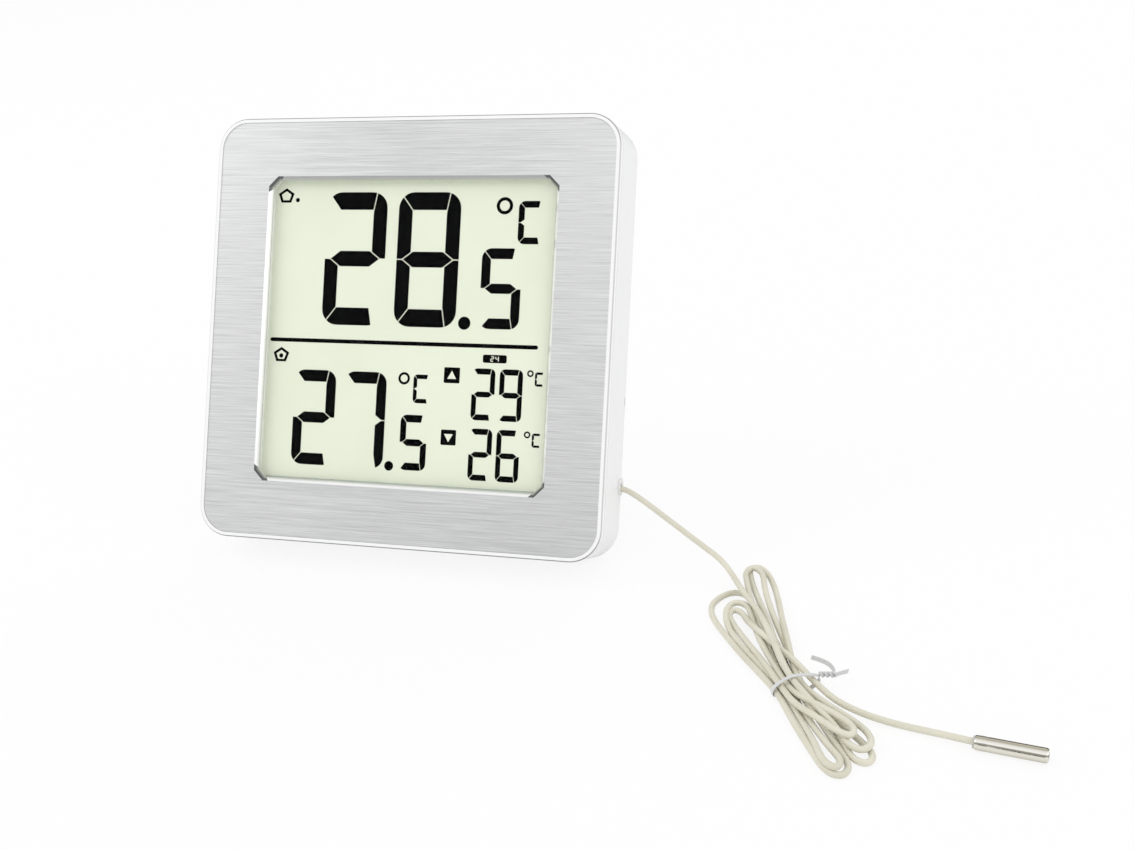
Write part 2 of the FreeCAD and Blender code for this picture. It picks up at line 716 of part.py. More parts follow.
# ---------------------------------------------------------------- battery door
# Its lower edge is a round nose, and it turns about that nose's middle while two
# hooks hold it under the edge of the case.
door = new_body("battery_door")
body_box(door, "Additive", both(P["door_half"]), (SHELL_BACK, T), (DOOR_LOW + NOSE, DOOR_HIGH))
body_rod(door, "Additive", "x", *both(P["door_half"]), NOSE, (T - NOSE, DOOR_LOW + NOSE))
for x in both(P["door_hook_at"]):
    hook_x = (x - P["door_hook_half"], x + P["door_hook_half"])
    body_box(door, "Additive", hook_x, (SHELL_BACK - HOOK_DEPTH, SHELL_BACK + 0.2),
             (DOOR_LOW + 0.3, DOOR_LOW + HOOK_TOP))
    body_box(door, "Additive", hook_x, (SHELL_BACK - HOOK_DEPTH, SHELL_BACK - 0.4),
             (DOOR_LOW - HOOK_REACH, DOOR_LOW + HOOK_TOP))
# a springy tongue between two slots, with a fingernail dip
for x in (-7, 6):
    body_box(door, "Subtractive", (x, x + 1), (SHELL_BACK - 1, T + 1), (DOOR_HIGH - 7, DOOR_HIGH + 1))
body_box(door, "Subtractive", (-4, 4), (T - 0.8, T + 1), (DOOR_HIGH - 3, DOOR_HIGH + 1))
for k in range(3):
    low = DOOR_LOW + 5 + 2.4 * k
    body_box(door, "Additive", (-10, 10), (T - 0.1, T + 0.35), (low, low + 1))
finish(door, "battery_door")

# ---------------------------------------------------------------- batteries and contacts
plate_in = P["bay_half"] - P["plate_thick"]
button_long = 0.9
for k, (label, nub) in enumerate((("battery_lower", 1), ("battery_upper", -1))):
    # one end with the nub touches its plate, the other leaves room for the spring
    if nub > 0:
        start, end = plate_in - P["cell_long"], plate_in - button_long
        nub_ends = (end, plate_in)
    else:
        start, end = -plate_in + button_long, -plate_in + P["cell_long"]
        nub_ends = (-plate_in, start)
    spot = (CELL_Y, CELL_Z[k])
    can = rod("x", start, end, P["cell_radius"], spot)
    tip = rod("x", *nub_ends, 1.9, spot)
    finish(fused(can, tip), label)

plate_y = (BAY_FLOOR + 1.1, SHELL_BACK - 1.2)
low_plate = (CELL_Z[0] - 4.6, CELL_Z[0] + 4.6)
high_plate = (CELL_Z[1] - 4.6, CELL_Z[1] + 4.6)
left = (-P["bay_half"], -plate_in)
right = (plate_in, P["bay_half"])
tab_y = (LEAD_Y - 0.4, LEAD_Y + 0.4)
LOW_TAB = BAY_LOW + 2.7
HIGH_TAB = BAY_LOW + 12.5
first_tab = block((-plate_in - 0.2, LEAD_X[0] + 0.4), tab_y, (LOW_TAB, LOW_TAB + 0.8))
second_tab = block((-plate_in - 0.2, LEAD_X[1] + 0.4), tab_y, (HIGH_TAB, HIGH_TAB + 0.8))
finish(together(fused(block(left, plate_y, low_plate), first_tab),
                fused(block(left, plate_y, high_plate), second_tab),
                block(right, plate_y, (low_plate[0], high_plate[1]))), "battery_contacts")


def coil_route(start, end, spot):
    """An open coil along x between two ends: eight places on each of its turns."""
    wire = P["spring_wire"].number
    radius = P["spring_radius"].number
    turns = 3.5
    places = int(8 * turns)
    low = start + wire + 0.02
    pitch = (end - start - 2 * wire - 0.04) / places
    return [(low + k * pitch, spot[0] + radius * math.cos(k * math.pi / 4),
             spot[1] + radius * math.sin(k * math.pi / 4)) for k in range(places + 1)]


gap = (2 * P["bay_half"] - 2 * P["plate_thick"] - P["cell_long"]).number
tube_feature("battery_springs", [
    coil_route(-plate_in.number, -plate_in.number + gap, (CELL_Y.number, CELL_Z[0].number)),
    coil_route(plate_in.number - gap, plate_in.number, (CELL_Y.number, CELL_Z[1].number)),
], P["spring_wire"].number)

# ---------------------------------------------------------------- circuit board and what is on it
board = new_body("circuit_board")
sketch = face_sketch(board, P["board_front"])
rectangle(sketch, both(BOARD_HALF), (P["board_low"], BOARD_HIGH))
pad(board, sketch, P["board_thick"])
sketch = face_sketch(board, P["board_front"])
circles(sketch, P["board_screw_radius"] + 0.2, BOARD_POSTS)
pocket(board, sketch, P["board_thick"])
finish(board, "circuit_board")

finish(together(*[fused(rod("y", BEZEL_BACK + 1.5, BOARD_BACK, P["board_screw_radius"], spot),
                        rod("y", BOARD_BACK, BOARD_BACK + 1.2, 1.9, spot))
                  for spot in BOARD_POSTS]), "board_screws")

seat = SCREW_SEAT
finish(together(*[fused(rod("y", BEZEL_BACK + 1.5, seat, P["screw_radius"], spot),
                        minus(rod("y", seat, seat + P["screw_head_tall"], P["screw_head_radius"], spot),
                              block((spot[0] - 1.6, spot[0] + 1.6),
                                    (seat + P["screw_head_tall"] - 0.7, seat + P["screw_head_tall"] + 1),
                                    (spot[1] - 0.3, spot[1] + 0.3)),
                              block((spot[0] - 0.3, spot[0] + 0.3),
                                    (seat + P["screw_head_tall"] - 0.7, seat + P["screw_head_tall"] + 1),
                                    (spot[1] - 1.6, spot[1] + 1.6))))
                  for spot in FOUR_POSTS]), "case_screws")

blob = doc.addObject("Part::Cone", "Blob")
CHIP_Z = BOARD_HIGH - 36
place(blob, 0, BOARD_BACK, CHIP_Z, axis=(1, 0, 0), angle=-90.0)
blob.Radius1 = 8.5
blob.Radius2 = 6.0
blob.Height = 1.8
finish(together(blob), "controller_blob")
finish(together(rod("x", 15, 21, 1.0, (BOARD_BACK + 1.0, CHIP_Z + 12))), "timing_crystal")
finish(together(rod("y", BOARD_BACK, BOARD_BACK + 5.4, 2.5, (-17, CHIP_Z + 24))), "smoothing_capacitor")
chips = [(-16, 12), (-16, 8), (-16, 4), (14, -4), (14, -8), (19, -8), (24, -4), (24, 4), (-24, -10), (-20, -10)]
finish(together(*[block((x - 1, x + 1), (BOARD_BACK, BOARD_BACK + 0.6), (CHIP_Z + z - 0.6, CHIP_Z + z + 0.6))
                  for x, z in chips]), "board_passives")
bead = doc.addObject("Part::Sphere", "Bead")
place(bead, BUTTON_X, BOARD_BACK + 4.5, 29)
bead.Radius = 1.3
finish(fused(bead, *[rod("y", BOARD_BACK, BOARD_BACK + 4.2, 0.25, (BUTTON_X + x, 29))
                     for x in (-0.7, 0.7)]), "indoor_thermistor")

PLUNGER_END = BOARD_BACK + 4.1
finish(together(*[fused(block((-BUTTON_X - 3, -BUTTON_X + 3), (BOARD_BACK, BOARD_BACK + 3.5), (z - 3, z + 3)),
                        rod("y", BOARD_BACK + 3.5, PLUNGER_END, 1.7, (-BUTTON_X, z)))
                  for z in BUTTON_Z]), "tact_switches")

switch_mid = SWITCH_Z + P["switch_travel"] / 2
knob_floor = BOARD_BACK + 2.8
finish(minus(block((BUTTON_X - 2.2, BUTTON_X + 2.2), (BOARD_BACK, BOARD_BACK + 3.6),
                   (switch_mid - 4.4, switch_mid + 4.4)),
             block((BUTTON_X - 1.3, BUTTON_X + 1.3), (knob_floor, BOARD_BACK + 4),
                   (switch_mid - 3, switch_mid + 3))), "unit_switch_body")
knob = new_body("unit_switch_knob")
body_box(knob, "Additive", (BUTTON_X - 1, BUTTON_X + 1), (knob_floor + 0.3, T - 0.5),
         (SWITCH_Z - KNOB_HALF, SWITCH_Z + KNOB_HALF))
for k in (-0.8, 0.2):
    body_box(knob, "Subtractive", (BUTTON_X - 2, BUTTON_X + 2), (T - 0.9, T),
             (SWITCH_Z + k, SWITCH_Z + k + 0.5))
finish(knob, "unit_switch_knob")

for label, z in zip(("button_max", "button_min", "button_reset"), BUTTON_Z):
    spot = (-BUTTON_X, z)
    button = new_body(label)
    body_rod(button, "Additive", "y", PLUNGER_END + 0.5, T + P["button_proud"], 2.2, spot)
    body_rod(button, "Additive", "y", SHELL_BACK - 1.7, SHELL_BACK - P["slack"], P["button_flange"], spot)
    body_rod(button, "Additive", "y", SHELL_BACK - 1, T + P["button_proud"], P["button_radius"], spot)
    round_edges(button, 0.4, at_depth(T + P["button_proud"]))
    finish(button, label)

# ---------------------------------------------------------------- wires from the cells to the board
board_back = BOARD_BACK.number
solder_z = BOARD_HIGH.number - 3
tube_feature("battery_leads", [
    [(x, LEAD_Y.number, tab.number), (x, LEAD_Y.number, BAY_LOW.number - 1.6),
     (x + 0.5, board_back + 2.0, solder_z + 2.5), (x + 1.0, board_back + 2.0, solder_z),
     (x + 1.0, board_back, solder_z)]
    for x, tab in zip(LEAD_X, (LOW_TAB, HIGH_TAB))
], 0.4)

# ---------------------------------------------------------------- cord inside the case
clamp_x = (HALF - 11, HALF - 7)
finish(minus(block(clamp_x, (EXIT_Y - 3.5, SHELL_BACK), (EXIT_Z - 3, EXIT_Z + 3)),
             rod("x", clamp_x[0] - 1, clamp_x[1] + 1, P["cord_radius"] + 0.05, (EXIT_Y, EXIT_Z))),
       "cord_clamp")
grommet_neck = rod("x", HALF - P["wall"] - 0.2, HALF + 0.1, P["grommet_radius"], (EXIT_Y, EXIT_Z))
grommet_lip = rod("x", HALF + 0.0, HALF + 0.5, P["grommet_radius"] + 0.5, (EXIT_Y, EXIT_Z))
grommet_flange = rod("x", HALF - P["wall"] - 1, HALF - P["wall"], P["grommet_radius"] + 0.9, (EXIT_Y, EXIT_Z))
finish(minus(fused(grommet_neck, grommet_lip, grommet_flange),
             rod("x", HALF - P["wall"] - 2, HALF + 2, P["cord_radius"] + 0.15, (EXIT_Y, EXIT_Z))),
       "cord_grommet")
wire_x = clamp_x[0].number
wire_y = EXIT_Y.number
wire_z = EXIT_Z.number
tube_feature("sensor_leads", [
    [(wire_x, wire_y, wire_z + side), (wire_x - 3, wire_y, wire_z + 2 * side),
     (wire_x - 5, wire_y - 3.4, wire_z + 5 * side), (wire_x - 5, board_back, wire_z + 5 * side)]
    for side in (0.4, -0.4)
], 0.32)

# ---------------------------------------------------------------- the free cord, in the object's frame
def from_exit(x, y, height):
    """A place on the cord: along and back from its exit, and its height above the ground."""
    return (HALF + x, OUT_Y + y, as_size(height))


def numbers(route):
    return [tuple(v.number for v in point) for point in route]


LEAD_ROUTE = [
    from_exit(-7.0, 0.0, OUT_Z),
    from_exit(1.5, 0.0, OUT_Z),
    from_exit(7.0, -2.0, OUT_Z - 1.6),
    from_exit(14.5, -3.2, 0.62 * OUT_Z),
    from_exit(22.5, -5.0, 0.33 * OUT_Z),
    from_exit(29.5, -9.0, 3.9),
    from_exit(34.0, -16.0, 3.0),
    from_exit(37.6, -23.5, 3.0),
]
PROBE_MOUTH = from_exit(96.2, -75.6, P["probe_radius"])
PROBE_TURN = -8.0
TAIL_ROUTE = [
    from_exit(66.0, -65.6, 1.6),
    from_exit(73.0, -70.6, 1.6),
    from_exit(80.6, -69.9, 0.9),
    from_exit(87.0, -69.6, 1.0),
    from_exit(92.9, -75.14, P["probe_radius"]),
    PROBE_MOUTH,
]
cord_radius = P["cord_radius"].number
tube_feature("sensor_cord_lead", [numbers(LEAD_ROUTE)], cord_radius, leaning=False, report=True)
tube_feature("sensor_cord_tail", [numbers(TAIL_ROUTE)], cord_radius, leaning=False, report=True)

# The tied hank as one closed body of its outer shape: two ears of loops at its far
# end, a waist at the tie and a rounded near end. Its outline goes round the loops,
# with places along and across the hank's own axis, and has an upright flat square
# to the cord where each tube meets it.
TIE = FreeCAD.Vector(*numbers([from_exit(57.9, -61.2, 0)])[0])
ALONG = FreeCAD.Vector(0.431, -0.902, 0)
ACROSS = FreeCAD.Vector(0.902, 0.431, 0)


def on_hank(along, across, height=0.0):
    return TIE + ALONG * along + ACROSS * across + FreeCAD.Vector(0, 0, height)


def upright_flat(mouth, neighbour, half):
    """The two ends of a flat through a tube's mouth, square to the tube."""
    mouth = FreeCAD.Vector(*mouth)
    way = mouth - FreeCAD.Vector(*neighbour)
    side = FreeCAD.Vector(-way.y, way.x, 0).normalize() * half
    mouth.z = 0
    return mouth + side, mouth - side


lead_points = numbers(LEAD_ROUTE)
tail_points = numbers(TAIL_ROUTE)
lead_flat = upright_flat(lead_points[-1], lead_points[-2], 1.5)
tail_flat = upright_flat(tail_points[0], tail_points[1], 1.3)
right_ear = [(-46, 1.2), (-55.5, 3), (-58.2, 5.2), (-57, 7.2), (-46, 8.6), (-36, 7.6), (-18, 5.6), (-4, 5), (2, 5.2)]
near_end = [(14, 6.4), (22, 8.6), (28, 7.6), (31.5, 3.2), (33.6, -1), (32.5, -4), (26, -5.2)]
left_ear = [(10, -6.4), (0, -7.2), (-14, -8), (-30, -11.6), (-38, -12.6), (-41.6, -10.2), (-42.4, -6)]
corners = [lead_flat[0], *[on_hank(*spot) for spot in right_ear], tail_flat[1], tail_flat[0],
           *[on_hank(*spot) for spot in near_end + left_ear], lead_flat[1]]
hank = doc.addObject("Part::Feature", "cord_hank")
hank_outline = Part.makePolygon([*corners, corners[0]])
hank.Shape = Part.Face(hank_outline).extrude(FreeCAD.Vector(0, 0, P["hank_thick"].number))
finish(hank, "cord_hank", leaning=False)

tie_top = P["hank_thick"].number + 0.7
tie_route = [on_hank(0, -8.1, 0.6), on_hank(0, -8.1, tie_top), on_hank(0, 6.2, tie_top),
             on_hank(-0.3, 8.4, 2.2), on_hank(-0.8, 12, 1.4)]
tube_feature("twist_tie", [[tuple(spot) for spot in tie_route]], 0.5, leaning=False)

# ---------------------------------------------------------------- outdoor probe, its cord end at its origin
bore = P["probe_radius"] - P["probe_wall"]


def on_cord(obj, label):
    finish(obj, label, leaning=False)
    place(obj, *PROBE_MOUTH, axis=(0, 0, 1), angle=PROBE_TURN)


axis_spot = (0, 0)
on_cord(minus(rod("x", 0.4, 0.4 + P["probe_long"], P["probe_radius"], axis_spot),
              rod("x", 0, P["probe_long"] - 0.1, bore, axis_spot)), "probe_sleeve")
on_cord(together(rod("x", 0, 2.4, bore - 0.02, axis_spot)), "probe_plug")
bead_spot = P["probe_long"] - 3
probe_bead = doc.addObject("Part::Sphere", "Bead")
place(probe_bead, bead_spot, 0, 0)
probe_bead.Radius = 0.8
on_cord(together(probe_bead), "probe_thermistor")
hollow = doc.addObject("Part::Sphere", "Bead")
place(hollow, bead_spot, 0, 0)
hollow.Radius = 0.82
on_cord(minus(rod("x", 2.5, P["probe_long"] - 0.2, bore - 0.02, axis_spot), hollow), "probe_potting")

# ---------------------------------------------------------------- checks and files
doc.recompute()
for obj in doc.Objects:
    if "Invalid" in obj.State or "Error" in obj.State:
        raise ValueError(f"{obj.Label} is in state {obj.State}")
for obj in finished:
    if obj.Shape.isNull() or not obj.Shape.isValid() or not obj.Shape.Solids:
        raise ValueError(f"{obj.Label} has no valid solid")

os.makedirs("parts", exist_ok=True)
for obj in finished:
    obj.Shape.exportStep(f"parts/{obj.Label}.step")
    print(f"{obj.Label:22s} solids {len(obj.Shape.Solids)}  volume {obj.Shape.Volume:9.1f} mm3")
print(len(finished), "pieces")
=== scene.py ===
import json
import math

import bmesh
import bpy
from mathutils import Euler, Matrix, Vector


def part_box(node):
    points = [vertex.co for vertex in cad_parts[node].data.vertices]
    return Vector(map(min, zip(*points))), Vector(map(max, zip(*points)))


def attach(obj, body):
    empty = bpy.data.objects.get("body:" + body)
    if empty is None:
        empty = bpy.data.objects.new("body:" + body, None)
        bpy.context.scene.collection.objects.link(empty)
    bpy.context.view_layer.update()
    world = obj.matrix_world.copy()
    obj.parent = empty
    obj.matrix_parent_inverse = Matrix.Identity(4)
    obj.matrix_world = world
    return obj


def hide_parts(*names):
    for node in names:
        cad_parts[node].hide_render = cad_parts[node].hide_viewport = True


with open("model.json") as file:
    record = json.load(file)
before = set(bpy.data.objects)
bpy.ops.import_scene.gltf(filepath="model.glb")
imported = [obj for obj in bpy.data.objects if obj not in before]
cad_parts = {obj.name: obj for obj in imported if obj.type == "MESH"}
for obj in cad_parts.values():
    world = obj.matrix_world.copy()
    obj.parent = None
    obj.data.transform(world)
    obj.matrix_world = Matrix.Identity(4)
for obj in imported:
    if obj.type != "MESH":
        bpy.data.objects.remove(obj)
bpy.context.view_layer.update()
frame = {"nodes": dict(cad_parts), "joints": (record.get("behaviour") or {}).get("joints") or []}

# %% [markdown]
# # A maximum-minimum thermometer with an outdoor probe
# The object is a square white case, 120 mm each way, that leans back on a fold-out
# stand. Its front is a brushed aluminium plate round a large liquid crystal display.
# A thin cream cord leaves the right-hand side, is folded in a hank with a twist tie
# round it, and ends in a small steel probe. The fixed frame holds every hard part, so
# this lesson adds the cord, the tie, the probe's tube, the display's figures and signs,
# and all of the finishes.

MM = 0.001
nodes = frame["nodes"]

# %% [markdown]
# ## The way the face lies
# Everything on the face is easiest to place in the face's own directions: across, up
# along the leaning front, and out towards the reader. They could be written down as
# angles. It is safer to read them from the frame: the unit switch slides along the
# face, so its axis is the face's own up, and the middle of the window is the middle
# of the face.

# %% Directions on the leaning face
ACROSS = Vector((1, 0, 0))
slide = next(joint for joint in frame["joints"] if joint["name"] == "unit_switch_slide")
UP = Vector(slide["axis"]).normalized()
OUT = ACROSS.cross(UP)
LENS_MIDDLE_DEPTH = 1.95 * MM
window_low, window_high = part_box("window_lens")
FRONT_MIDDLE = (window_low + window_high) / 2 + OUT * LENS_MIDDLE_DEPTH
FACE = Matrix((ACROSS, UP, OUT)).transposed().to_4x4()
FACE.translation = FRONT_MIDDLE
LEAN = math.degrees(math.atan2(UP.y, UP.z))
print("the case leans back", round(LEAN, 2), "degrees; its front middle is at", FRONT_MIDDLE)

# %% [markdown]
# ## The camera
# The camera comes before anything is made, because the cord must lie where the view
# takes it in. It stands to the right of the thermometer and above it, and looks down a
# little, through a lens slightly longer than a standard one, so that the square face
# keeps nearly square sides.

# %% Camera
def put(name, data):
    """A new object in the scene, at the origin."""
    thing = bpy.data.objects.new(name, data)
    bpy.context.scene.collection.objects.link(thing)
    return thing


CAMERA_PLACE = Vector((155.03, -345.06, 188.46)) * MM
CAMERA_TURN = (66.65, 4.194, 16.219)
SENSOR_WIDTH = 36.0
LENS = 44.44

camera_data = bpy.data.cameras.new("camera")
camera_data.lens = LENS
camera_data.sensor_width = SENSOR_WIDTH
camera_data.clip_start = 0.01
camera = put("camera", camera_data)
camera.location = CAMERA_PLACE
camera.rotation_euler = Euler([math.radians(angle) for angle in CAMERA_TURN])
bpy.context.scene.camera = camera
print("camera", round((CAMERA_PLACE - FRONT_MIDDLE).length / MM), "mm from the face")

# %% [markdown]
# ## The sensor cord
# The cord is about 0.9 m of thin, limp, cream flex. It comes straight out of its
# grommet, drops to the table, runs over a hank of its own folds, passes back and forth
# through the tie and then runs on to the probe. It could be modelled as separate loops,
# but a real hank is one length, so the whole cord is one smooth spline. The hank's
# places are given along and across its own axis from the tie, and by layer: layer 0
# lies on the table, and each layer nests into the one below it.

# %% The hank's own directions
CORD_RADIUS = 0.78 * MM
LAYER = 1.32 * MM
CLEAR_OF_TABLE = 0.02 * MM
TIE = Vector((117.9, -71.922, 0)) * MM
ALONG_HANK = Vector((0.431, -0.902, 0))
ACROSS_HANK = Vector((0.902, 0.431, 0))


def by_hank(along, across, height):
    """A place by the hank: millimetres along and across it, and metres above the table."""
    flat = TIE + ALONG_HANK * along * MM + ACROSS_HANK * across * MM
    return Vector((flat.x, flat.y, height))


def in_hank(along, across, layer):
    """A place for the cord's centreline, by its layer in the hank."""
    return by_hank(along, across, CORD_RADIUS + CLEAR_OF_TABLE + LAYER * layer)


print("under the tie, a strand on the table lies at", in_hank(0, 0, 0))

# %% The cord's route
LEAD = [(53.0, -10.722, 19.286), (60.4, -10.722, 19.286), (65.8, -12.222, 17.086),
        (74.0, -13.822, 11.757), (82.5, -15.722, 6.364), (89.5, -19.722, 3.9),
        (94.0, -26.722, 3.2)]
TAIL = [(126.0, -76.322, 1.6), (132.6, -80.322, 1.6), (139.6, -81.822, 0.9),
        (146.6, -83.322, 1.0), (152.2, -85.322, 1.65), (158.2, -86.602, 1.65)]
HANK_FOLDS = {
    "lead, over the loops and through the tie": [
        (-43, -2.1, 2.0), (-32, -1.0, 2.2), (-20, -1.6, 2.6), (-12, -2.2, 2.8),
        (-6, -2.4, 2.4), (0, -2.2, 2.2)],
    "near end, upper right loop": [
        (8, -0.6, 1.9), (15, 1.2, 1.5), (20, 2.2, 1.1), (24.6, 2.4, 1.1), (27.4, 4.6, 1.1),
        (25.4, 7.6, 1.1), (20.6, 8.0, 1.0), (15, 5.8, 1.0), (7, 2.0, 1.0)],
    "far end, widest loop": [
        (0, -0.3, 1.2), (-8, 0.4, 1.0), (-18, 2.4, 1.0), (-28, 4.2, 0.6), (-38, 6.3, 0.1),
        (-46, 7.7, 0.0), (-53, 8.2, 0.0), (-58, 7.0, 0.0), (-57.4, 4.0, 0.0),
        (-51, 2.8, 0.05), (-42, 1.7, 0.4), (-30, 0.9, 0.95), (-18, -0.7, 1.0),
        (-8, -1.7, 1.0)],
    "near end, longest loop": [
        (0, -1.85, 1.2), (8, -1.0, 0.9), (16, 0.0, 0.3), (24, 0.6, 0.0), (30, 0.9, 0.0),
        (32.8, -2.0, 0.0), (29.8, -4.8, 0.0), (22, -5.3, 0.0), (12, -5.8, 0.0)],
    "far end, left ear": [
        (1, -5.8, 0.2), (-8, -7.2, 0.0), (-18, -9.4, 0.0), (-28, -10.9, 0.0),
        (-36, -11.8, 0.0), (-41.6, -10.8, 0.0), (-45.2, -7.6, 0.0), (-47, -3.6, 0.0),
        (-45, -0.4, 0.0), (-39, 0.0, 0.0), (-30, 0.1, 0.0), (-18, 0.3, 0.0), (-8, -0.8, 0.0)],
    "near end, lower right loop": [
        (0, -1.2, 0.2), (8, 0.9, 0.0), (15, 2.0, 0.0), (22, 2.2, 0.0), (27.8, 2.2, 0.0),
        (30.2, 4.8, 0.0), (27.4, 7.2, 0.0), (22, 6.0, 0.0), (14, 3.8, 0.0), (7, 2.2, 0.0)],
    "far end, narrow loop over the widest": [
        (0, 0.4, 0.2), (-8, 1.0, 0.0), (-18, 2.0, 0.0), (-28, 2.6, 0.3), (-38, 3.4, 1.0),
        (-46, 4.8, 1.0), (-52, 6.3, 1.0), (-56.2, 4.8, 1.0), (-53.6, 1.8, 1.0),
        (-47.5, 0.7, 1.1), (-40, -0.7, 1.1), (-30, -1.2, 1.0), (-18, -2.4, 0.3),
        (-8, -2.9, 0.0)],
    "near end, inner loop": [
        (0, -2.7, 0.2), (8, -2.5, 0.0), (16, -2.1, 0.3), (24, -1.6, 0.9), (29.4, -0.8, 1.1),
        (31.6, -2.8, 1.1), (28.6, -4.6, 1.0), (20, -3.9, 0.3), (10, -4.0, 0.0)],
    "far end, inner left loop": [
        (0, -4.2, 0.2), (-8, -5.6, 0.0), (-18, -7.8, 0.0), (-27, -9.3, 0.1), (-33, -9.2, 0.9),
        (-38, -7.4, 1.0), (-40, -4.4, 1.0), (-37, -1.9, 1.0), (-30, -2.9, 0.7),
        (-20, -3.9, 0.9), (-8, -3.7, 1.0)],
    "near end, short loop": [
        (0, -3.45, 1.2), (5, -2.4, 1.5), (11, 0.6, 2.1), (17, 3.8, 2.2), (21.4, 5.1, 2.2),
        (23.8, 3.2, 2.2), (20.8, 0.9, 2.2), (14, -1.6, 1.9), (7, -4.1, 1.1)],
    "far end, smallest loop, then out to the tail": [
        (0, -4.95, 1.2), (-8, -5.3, 0.9), (-16, -6.0, 0.5), (-24, -7.0, 0.3),
        (-30, -7.7, 0.3), (-35.4, -7.8, 0.4), (-37.6, -5.8, 0.5), (-35.2, -4.2, 0.6),
        (-30, -4.3, 1.0), (-26, -4.0, 1.6), (-21, -2.9, 2.0), (-15, -1.2, 1.9),
        (-9, 0.6, 2.0), (-4, 1.6, 1.9), (1, 3.0, 1.4)],
}

route = [Vector(place) * MM for place in LEAD]
for fold in HANK_FOLDS.values():
    route += [in_hank(*place) for place in fold]
route += [Vector(place) * MM for place in TAIL]
print("the cord passes", len(route), "places, through", len(HANK_FOLDS), "strands at the tie")


# %% The cord
def smooth_line(name, places, order, steps, closed=False, radius=1.0):
    """A line along one NURBS spline, through or near its places, with no thickness yet."""
    line = bpy.data.curves.new(name, "CURVE")
    line.dimensions = "3D"
    spline = line.splines.new("NURBS")
    spline.points.add(len(places) - 1)
    for point, place in zip(spline.points, places):
        point.co = (*place, 1)
        point.radius = radius
    spline.order_u = order
    spline.use_cyclic_u = closed
    spline.use_endpoint_u = not closed
    spline.resolution_u = steps
    return line


def mesh_of(line):
    holder = bpy.data.objects.new("holder", line)
    mesh = bpy.data.meshes.new_from_object(holder)
    bpy.data.objects.remove(holder)
    return mesh


def round_cord(name, places, radius):
    """A round cord along a smooth line. Its radius is set at the line's points, and the bevel
    only multiplies it by one, so that the line's own box is no thicker than the cord."""
    line = smooth_line(name, places, order=3, steps=8, radius=radius)
    line.bevel_depth = 1.0
    line.bevel_resolution = 4
    line.use_fill_caps = True
    return put(name, line)


def line_length(thing):
    """The length of a curve's own line, from its mesh with no thickness."""
    bare = thing.data.copy()
    bare.bevel_depth = 0
    mesh = mesh_of(bare)
    total = sum((mesh.vertices[a].co - mesh.vertices[b].co).length
                for a, b in (edge.vertices for edge in mesh.edges))
    bpy.data.meshes.remove(mesh)
    return total


sensor_cord = round_cord("sensor_cord", route, CORD_RADIUS)
CORD_LENGTH = line_length(sensor_cord)
print("the cord is", round(CORD_LENGTH, 4), "m long")
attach(sensor_cord, "case")
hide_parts("sensor_cord_lead", "cord_hank", "sensor_cord_tail")

# %% [markdown]
# ## Table, backdrop and light
# The setting is plain: a pale table that runs out of sight, in soft light at a level
# where a surface looks the colour it was given. The surroundings are white where the
# camera, a reflection or clear plastic looks straight at them, and dimmer where they
# only light the object, so metal mirrors a bright room but nothing burns out.

# %% A small class for surface sums
def sign(operation, swapped=False):
    """What one of Python's signs does to two signals, or to a signal and a number."""
    def work(self, other):
        return self.finish.maths(operation, *((other, self) if swapped else (self, other)))
    return work


class Signal:
    """A number, colour or place that varies over a surface, on which Python's signs work."""

    def __init__(self, finish, socket):
        self.finish = finish
        self.socket = socket

    __add__ = sign("ADD")
    __radd__ = sign("ADD", swapped=True)
    __sub__ = sign("SUBTRACT")
    __rsub__ = sign("SUBTRACT", swapped=True)
    __mul__ = sign("MULTIPLY")
    __rmul__ = sign("MULTIPLY", swapped=True)
    __truediv__ = sign("DIVIDE")
    __gt__ = sign("GREATER_THAN")
    __lt__ = sign("LESS_THAN")

    def __abs__(self):
        return self.finish.maths("ABSOLUTE", self)


